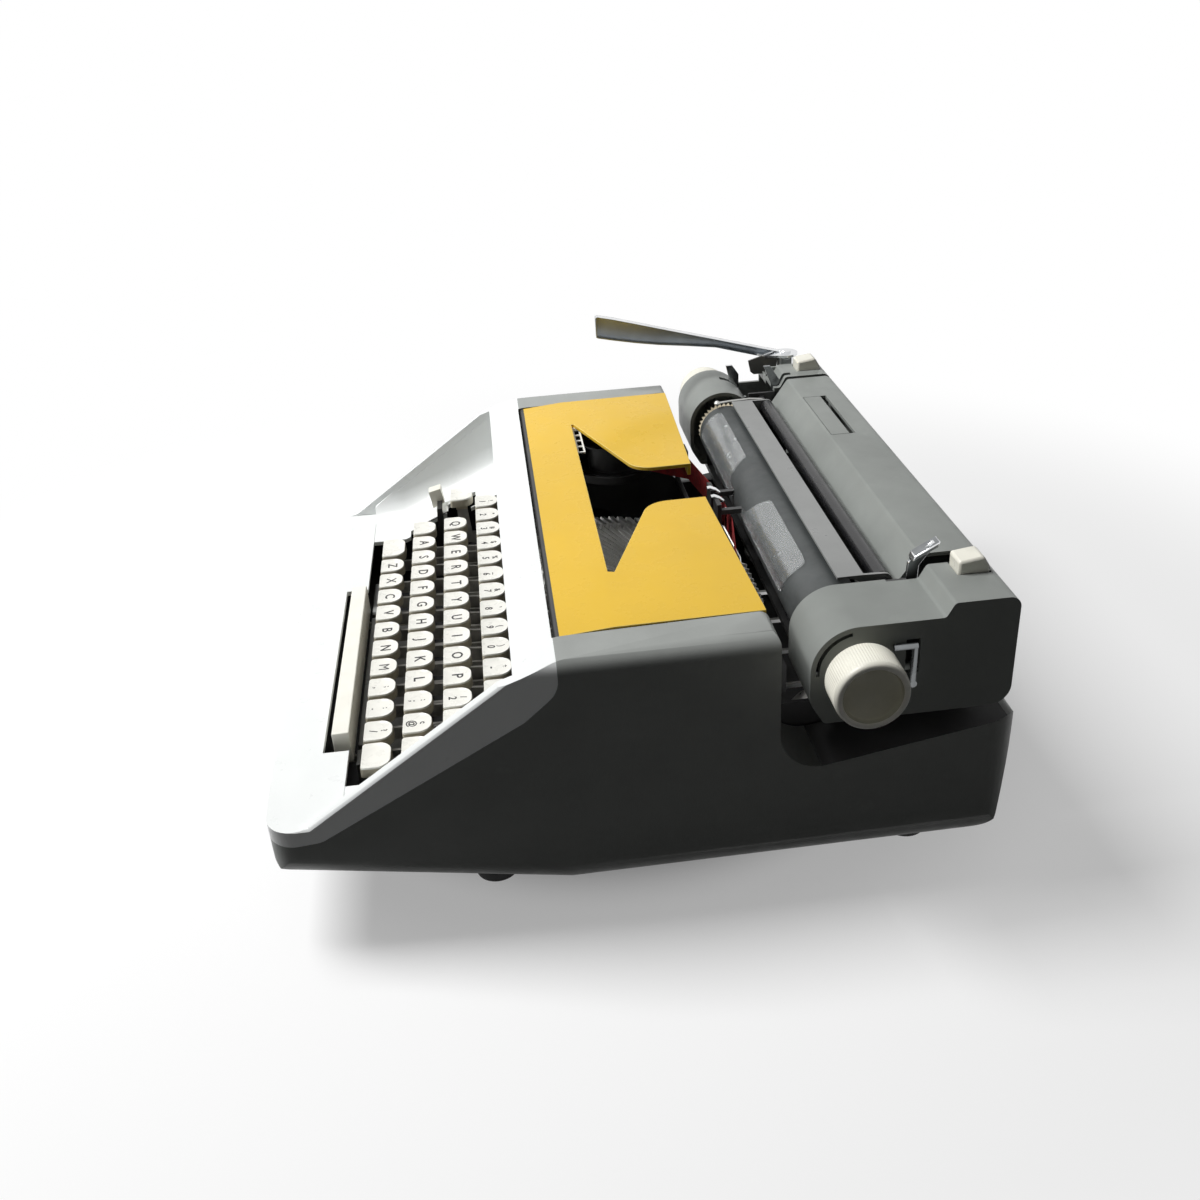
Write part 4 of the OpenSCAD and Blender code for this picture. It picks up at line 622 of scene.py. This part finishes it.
# Return lever: a folded sheet that widens to its front end, as (y, top z, low z)
LEVER_STATIONS = [
    (19.2, 176.4, 163.2), (20.2, 177.0, 162.6), (30, 174.7, 160.4), (44, 170.8, 157.6), (58, 166.8, 155.3),
    (76, 161.8, 153.1), (94, 156.8, 150.6), (110, 152.3, 146.0), (122, 148.9, 142.6), (134, 145.6, 139.8),
    (143, 143.6, 138.6)]
WEB_X = -163.3
FLANGE_STRIPS = 4


def lever_section(y, top, low):
    """A narrow top flange, a web and a lip that curls out at the bottom."""
    return [(WEB_X + dx, y, z) for dx, z in [
        (4.4, top - 0.7), (4.0, top - 0.1), (1.5, top), (0.45, top - 0.45), (0, top - 1.5),
        (-0.1, (top + low) / 2), (0.15, low + 2.2), (0.8, low + 0.9), (1.9, low + 0.2), (2.9, low)]]


bm = bmesh.new()
grid = [ring(bm, lever_section(*station)) for station in LEVER_STATIONS]
for a, b in zip(grid, grid[1:]):
    for k in range(len(a) - 1):
        strip = bm.faces.new((a[k], a[k + 1], b[k + 1], b[k]))
        strip.material_index = int(k < FLANGE_STRIPS)
bm.faces.new(grid[0])
sheet = new_piece("return_lever_sheet", bm, [SHEET, CHROME], "return_lever", ["return_lever"], sharp=40)
sheet.modifiers.new("sheet", "SOLIDIFY").thickness = 0.7 * MM

# Its pivot: a turned post, a pin, an arm and a bent plate in front
HUB_X, HUB_Y, HUB_R = -158, 138, 7.6
bm = bmesh.new()
turned(bm, HUB_X, HUB_Y, [(5.6, 132.4), (6, 132.9), (6, 142.6), (5.5, 143.2)])
turned(bm, HUB_X, HUB_Y, [(3.4, 144.6), (3.4, 145.6), (2.8, 146.1)])
arm = [(-163.6, 118), (-154.5, 124)]
for degrees in range(-10, 181, 10):
    a = math.radians(degrees)
    arm.append((HUB_X + HUB_R * math.cos(a), HUB_Y + HUB_R * math.sin(a)))
slab(bm, arm, 143.2, 144.6)
plate(bm, -155.6, 1.2, [
    (113.5, 141.8), (115, 134.6), (117, 132.9), (128.5, 132.9), (131, 134), (132.5, 143), (122, 144.2)], 1)
new_piece("return_lever_pivot", bm, [CHROME, FLOORPLATE], "return_lever", sharp=35)

# Clear card holders: bent sheets with rounded outer corners and hollow inner ends, as (x, angle of the rear edge)
CARD_EDGE = [
    (10, 160), (17.5, 160), (20.1, 157.5), (22, 151), (24, 143), (25.4, 134), (26.8, 124), (28.4, 114.5),
    (30.3, 107), (45, 106.5), (60, 106.5), (75, 106.5), (88, 106.5), (94, 106.8), (97, 108.2), (99, 111.5),
    (100, 118)]
CARD_RADII = (17.3, 16.5)
CARD_STEPS = 14


def front_angle(x):
    """Angle of a card holder's front edge, which rounds off at the outer end."""
    return 166 if x > 99.5 else 170 if x > 98 else 172


def card_column(x, rear, r, side):
    """Points of a card holder at x, from its rear to its front edge."""
    points = []
    for k in range(CARD_STEPS + 1):
        a = math.radians(rear + (front_angle(x) - rear) * k / CARD_STEPS)
        points.append((side * x, PLATEN_Y + r * math.cos(a), PLATEN_Z + r * math.sin(a)))
    return points


for side, name, stands_for in ((-1, "left", ["card_holders"]), (1, "right", [])):
    bm = bmesh.new()
    outer, inner = [[ring(bm, card_column(x, rear, r, side)) for x, rear in CARD_EDGE] for r in CARD_RADII]
    for columns in (outer, inner):
        for a, b in zip(columns, columns[1:]):
            for k in range(CARD_STEPS):
                bm.faces.new((a[k], a[k + 1], b[k + 1], b[k]))
    for i in range(len(CARD_EDGE) - 1):
        for k in (0, CARD_STEPS):
            bm.faces.new((outer[i][k], outer[i + 1][k], inner[i + 1][k], inner[i][k]))
    for i in (0, -1):
        for k in range(CARD_STEPS):
            bm.faces.new((outer[i][k], outer[i][k + 1], inner[i][k + 1], inner[i][k]))
    plate(bm, side * 11.5, 3, [(62.9, 117.2), (73.5, 117.2), (74.1, 119.8), (62.9, 119.8)], 1)
    new_piece(name + "_card_holder", bm, [CLEAR, DARK_STEEL_AND_SHADE], BODY_OF["card_holders"], stands_for, sharp=40)

# Guide horns, comb and wire behind the cover
bm = bmesh.new()
for x in (-5.6, 5.6):
    tube(bm, [(x, 59.2, 124.6), (x, 60.6, 124.9), (x, 63.2, 123.6), (x, 65.4, 121.6)], 1.15)
new_piece("guide_horns", bm, [CHROME], BODY_OF["type_guide"], sharp=50)

COMB_TEETH, COMB_X0, COMB_STEP = 8, 46, 5.2
bm = bmesh.new()
tube(bm, [(14.5, 61.8, 101.5), (92, 61.8, 101.5)], 1.4, 1)
for k in range(COMB_TEETH):
    plate(bm, COMB_X0 + COMB_STEP * k, 0.9, [
        (58.6, 103.6), (59.4, 100.4), (64.4, 100.4), (69.4, 102.4), (69.4, 104.6), (66, 105.8), (59.4, 105.8)])
tube(bm, [(14.2, 62.4, 112), (16, 63.6, 112), (44, 66.4, 107.6), (46, 66.4, 105.4)], 0.5)
new_piece("ribbon_comb", bm, [TYPE, BLACK_PAINT_AND_SHADE], BODY_OF["type_guide"], sharp=35)

# Cheeks of the frame beside the platen
bm = bmesh.new()
for x in (-128.25, 128.25):
    plate(bm, x, 1.6, [(57.5, 82), (69.4, 82), (69.4, 96), (67.6, 100.5), (63, 104), (57.5, 106)])
new_piece("frame_cheeks", bm, [BLACK_PAINT_AND_SHADE], BODY_OF["side_frames"], sharp=35)

# Ladder strip under the cover's opening: two rails, rungs and an end
RUNGS, RUNG_X0, RUNG_STEP = 5, -98, 8.75
bm = bmesh.new()
for y in (-3.4, 0.2):
    bar(bm, -99, -62, y - 0.45, y + 0.45, 127.7, 128.6)
for k in range(RUNGS):
    x = RUNG_X0 + RUNG_STEP * k
    bar(bm, x - 0.6, x + 0.6, -3.0, -0.2, 127.8, 128.5)
bar(bm, -101, -98, -6, 0.6, 127.7, 129.3)
new_piece("cover_ladder", bm, [KEYTOP], "cover", sharp=35)

# Strip on the deck under the selector, which slopes like the keyboard, and beside it a thin black sheet as a painted
# shadow line along a slot
deck = [(y, 60.9 + (y + 109.8) * ROW_FALL / ROW_DEPTH) for y in (-97, -92, -87, -82.6)]
bm = bmesh.new()
for x, t, top, mat in ((-128.2, 7.0, 0.45, 0), (-123.9, 0.9, 0.3, 1)):
    plate(bm, x, t, [(y, z - 0.3) for y, z in deck] + [(y, z + top) for y, z in reversed(deck)], mat)
new_piece("selector_strip", bm, [TYPE, BLACK_PAINT_AND_SHADE], BODY_OF["keyboard_frame"], sharp=35)

# Wire arm of the paper bail with its bead
WIRE_X, BEAD_Y = -108.6, 84.6
bm = bmesh.new()
tube(bm, [(WIRE_X, y, z) for y, z in [(BEAD_Y, 132.9), (92, 133.5), (104, 133.9), (111, 133.2), (114, 131.6)]], 0.75)
turned(bm, WIRE_X, BEAD_Y, [(0.6, 131.6), (1.5, 132.2), (1.9, 133.0), (1.5, 133.8), (0.6, 134.4)])
new_piece("bail_wire", bm, [STEEL], "paper_bail", sharp=50)


# Stage, light and camera; sizes in metres from here on
def seen_ray(tree):
    """1 for camera, mirror and see-through rays, 0 for light that bounces on."""
    path = tree.nodes.new("ShaderNodeLightPath")
    out = path.outputs["Is Camera Ray"]
    for name in ("Is Glossy Ray", "Is Transmission Ray"):
        most = tree.nodes.new("ShaderNodeMath")
        most.operation = "MAXIMUM"
        tree.links.new(out, most.inputs[0])
        tree.links.new(path.outputs[name], most.inputs[1])
        out = most.outputs[0]
    return out


def mix_shader(tree, fac, low, high):
    mix = tree.nodes.new("ShaderNodeMixShader")
    for socket, source in enumerate((fac, low, high)):
        tree.links.new(source, mix.inputs[socket])
    return mix.outputs[0]


def diffuse(tree, level):
    node = tree.nodes.new("ShaderNodeBsdfDiffuse")
    node.inputs["Color"].default_value = (level, level, level, 1)
    return node.outputs[0]


# Share of plain white in the floor that is seen, by distance from the object's middle
FLOOR_WHITE = [(0.10, 0.0), (0.17, 0.38), (0.25, 0.46), (0.33, 0.44), (0.60, 1.0)]


def pale_floor():
    bm = bmesh.new()
    bmesh.ops.create_grid(bm, x_segments=1, y_segments=1, size=8)
    me = bpy.data.meshes.new("floor")
    bm.to_mesh(me)
    bm.free()
    floor = bpy.data.objects.new("floor", me)
    scene.collection.objects.link(floor)
    m = bpy.data.materials.new("floor")
    m.use_nodes = True
    me.materials.append(m)
    t = m.node_tree
    t.nodes.remove(t.nodes["Principled BSDF"])
    white = t.nodes.new("ShaderNodeEmission")
    white.inputs["Strength"].default_value = 1.0
    far = t.nodes.new("ShaderNodeValToRGB")
    far.color_ramp.interpolation = "EASE"
    for _ in FLOOR_WHITE[2:]:
        far.color_ramp.elements.new(0.5)
    for el, (place, share) in zip(far.color_ramp.elements, FLOOR_WHITE):
        el.position = place
        el.color = (share, share, share, 1)
    length = t.nodes.new("ShaderNodeVectorMath")
    length.operation = "LENGTH"
    co = t.nodes.new("ShaderNodeTexCoord")
    t.links.new(co.outputs["Object"], length.inputs[0])
    t.links.new(length.outputs["Value"], far.inputs["Fac"])
    seen = mix_shader(t, far.outputs["Color"], diffuse(t, 0.96), white.outputs[0])
    surface = mix_shader(t, seen_ray(t), diffuse(t, 0.025), seen)
    t.links.new(surface, t.nodes["Material Output"].inputs["Surface"])


def white_world(ambient):
    """White where it is seen, and weak as a light."""
    world = bpy.data.worlds.new("studio")
    scene.world = world
    world.use_nodes = True
    t = world.node_tree
    low = t.nodes["Background"]
    full = t.nodes.new("ShaderNodeBackground")
    for node, strength in ((low, ambient), (full, 1.0)):
        node.inputs["Color"].default_value = (1, 1, 1, 1)
        node.inputs["Strength"].default_value = strength
    t.links.new(mix_shader(t, seen_ray(t), low.outputs[0], full.outputs[0]), t.nodes["World Output"].inputs["Surface"])


def area_lamp(name, loc, target, size_x, size_y, power):
    """A rectangular lamp that looks at target, with its long side along Y."""
    lamp = bpy.data.lights.new(name, "AREA")
    lamp.energy = power
    lamp.shape = "RECTANGLE"
    lamp.size = size_x
    lamp.size_y = size_y
    ob = bpy.data.objects.new(name, lamp)
    ob.location = loc
    ob.rotation_mode = "QUATERNION"
    z = (Vector(loc) - Vector(target)).normalized()
    y = (Vector((0, 1, 0)) - z * z.y).normalized()
    ob.rotation_quaternion = Matrix((y.cross(z), y, z)).transposed().to_quaternion()
    scene.collection.objects.link(ob)


pale_floor()
white_world(0.034)
area_lamp("key", loc=(-0.28, -0.78, 1.38), target=(0, 0, 0.08), size_x=0.62, size_y=0.8, power=29)

# Camera, from the fit to the photograph
cam_data = bpy.data.cameras.new("camera")
cam_data.sensor_width = 36
cam_data.lens = 36.72
cam_data.shift_x = -0.0259
cam_data.shift_y = 0.0131
cam_data.clip_start = 0.01
cam = bpy.data.objects.new("camera", cam_data)
scene.collection.objects.link(cam)
right = Vector((0.1297, 0.9905, -0.0461)).normalized()
forward = Vector((-0.8647, 0.0902, -0.4942)).normalized()
up = right.cross(forward).normalized()
right = forward.cross(up).normalized()
turn = Matrix((right, up, -forward)).transposed()
cam.matrix_world = Matrix.Translation((0.5785, -0.0455, 0.3865)) @ turn.to_4x4()
scene.camera = cam
scene.view_settings.view_transform = "Standard"
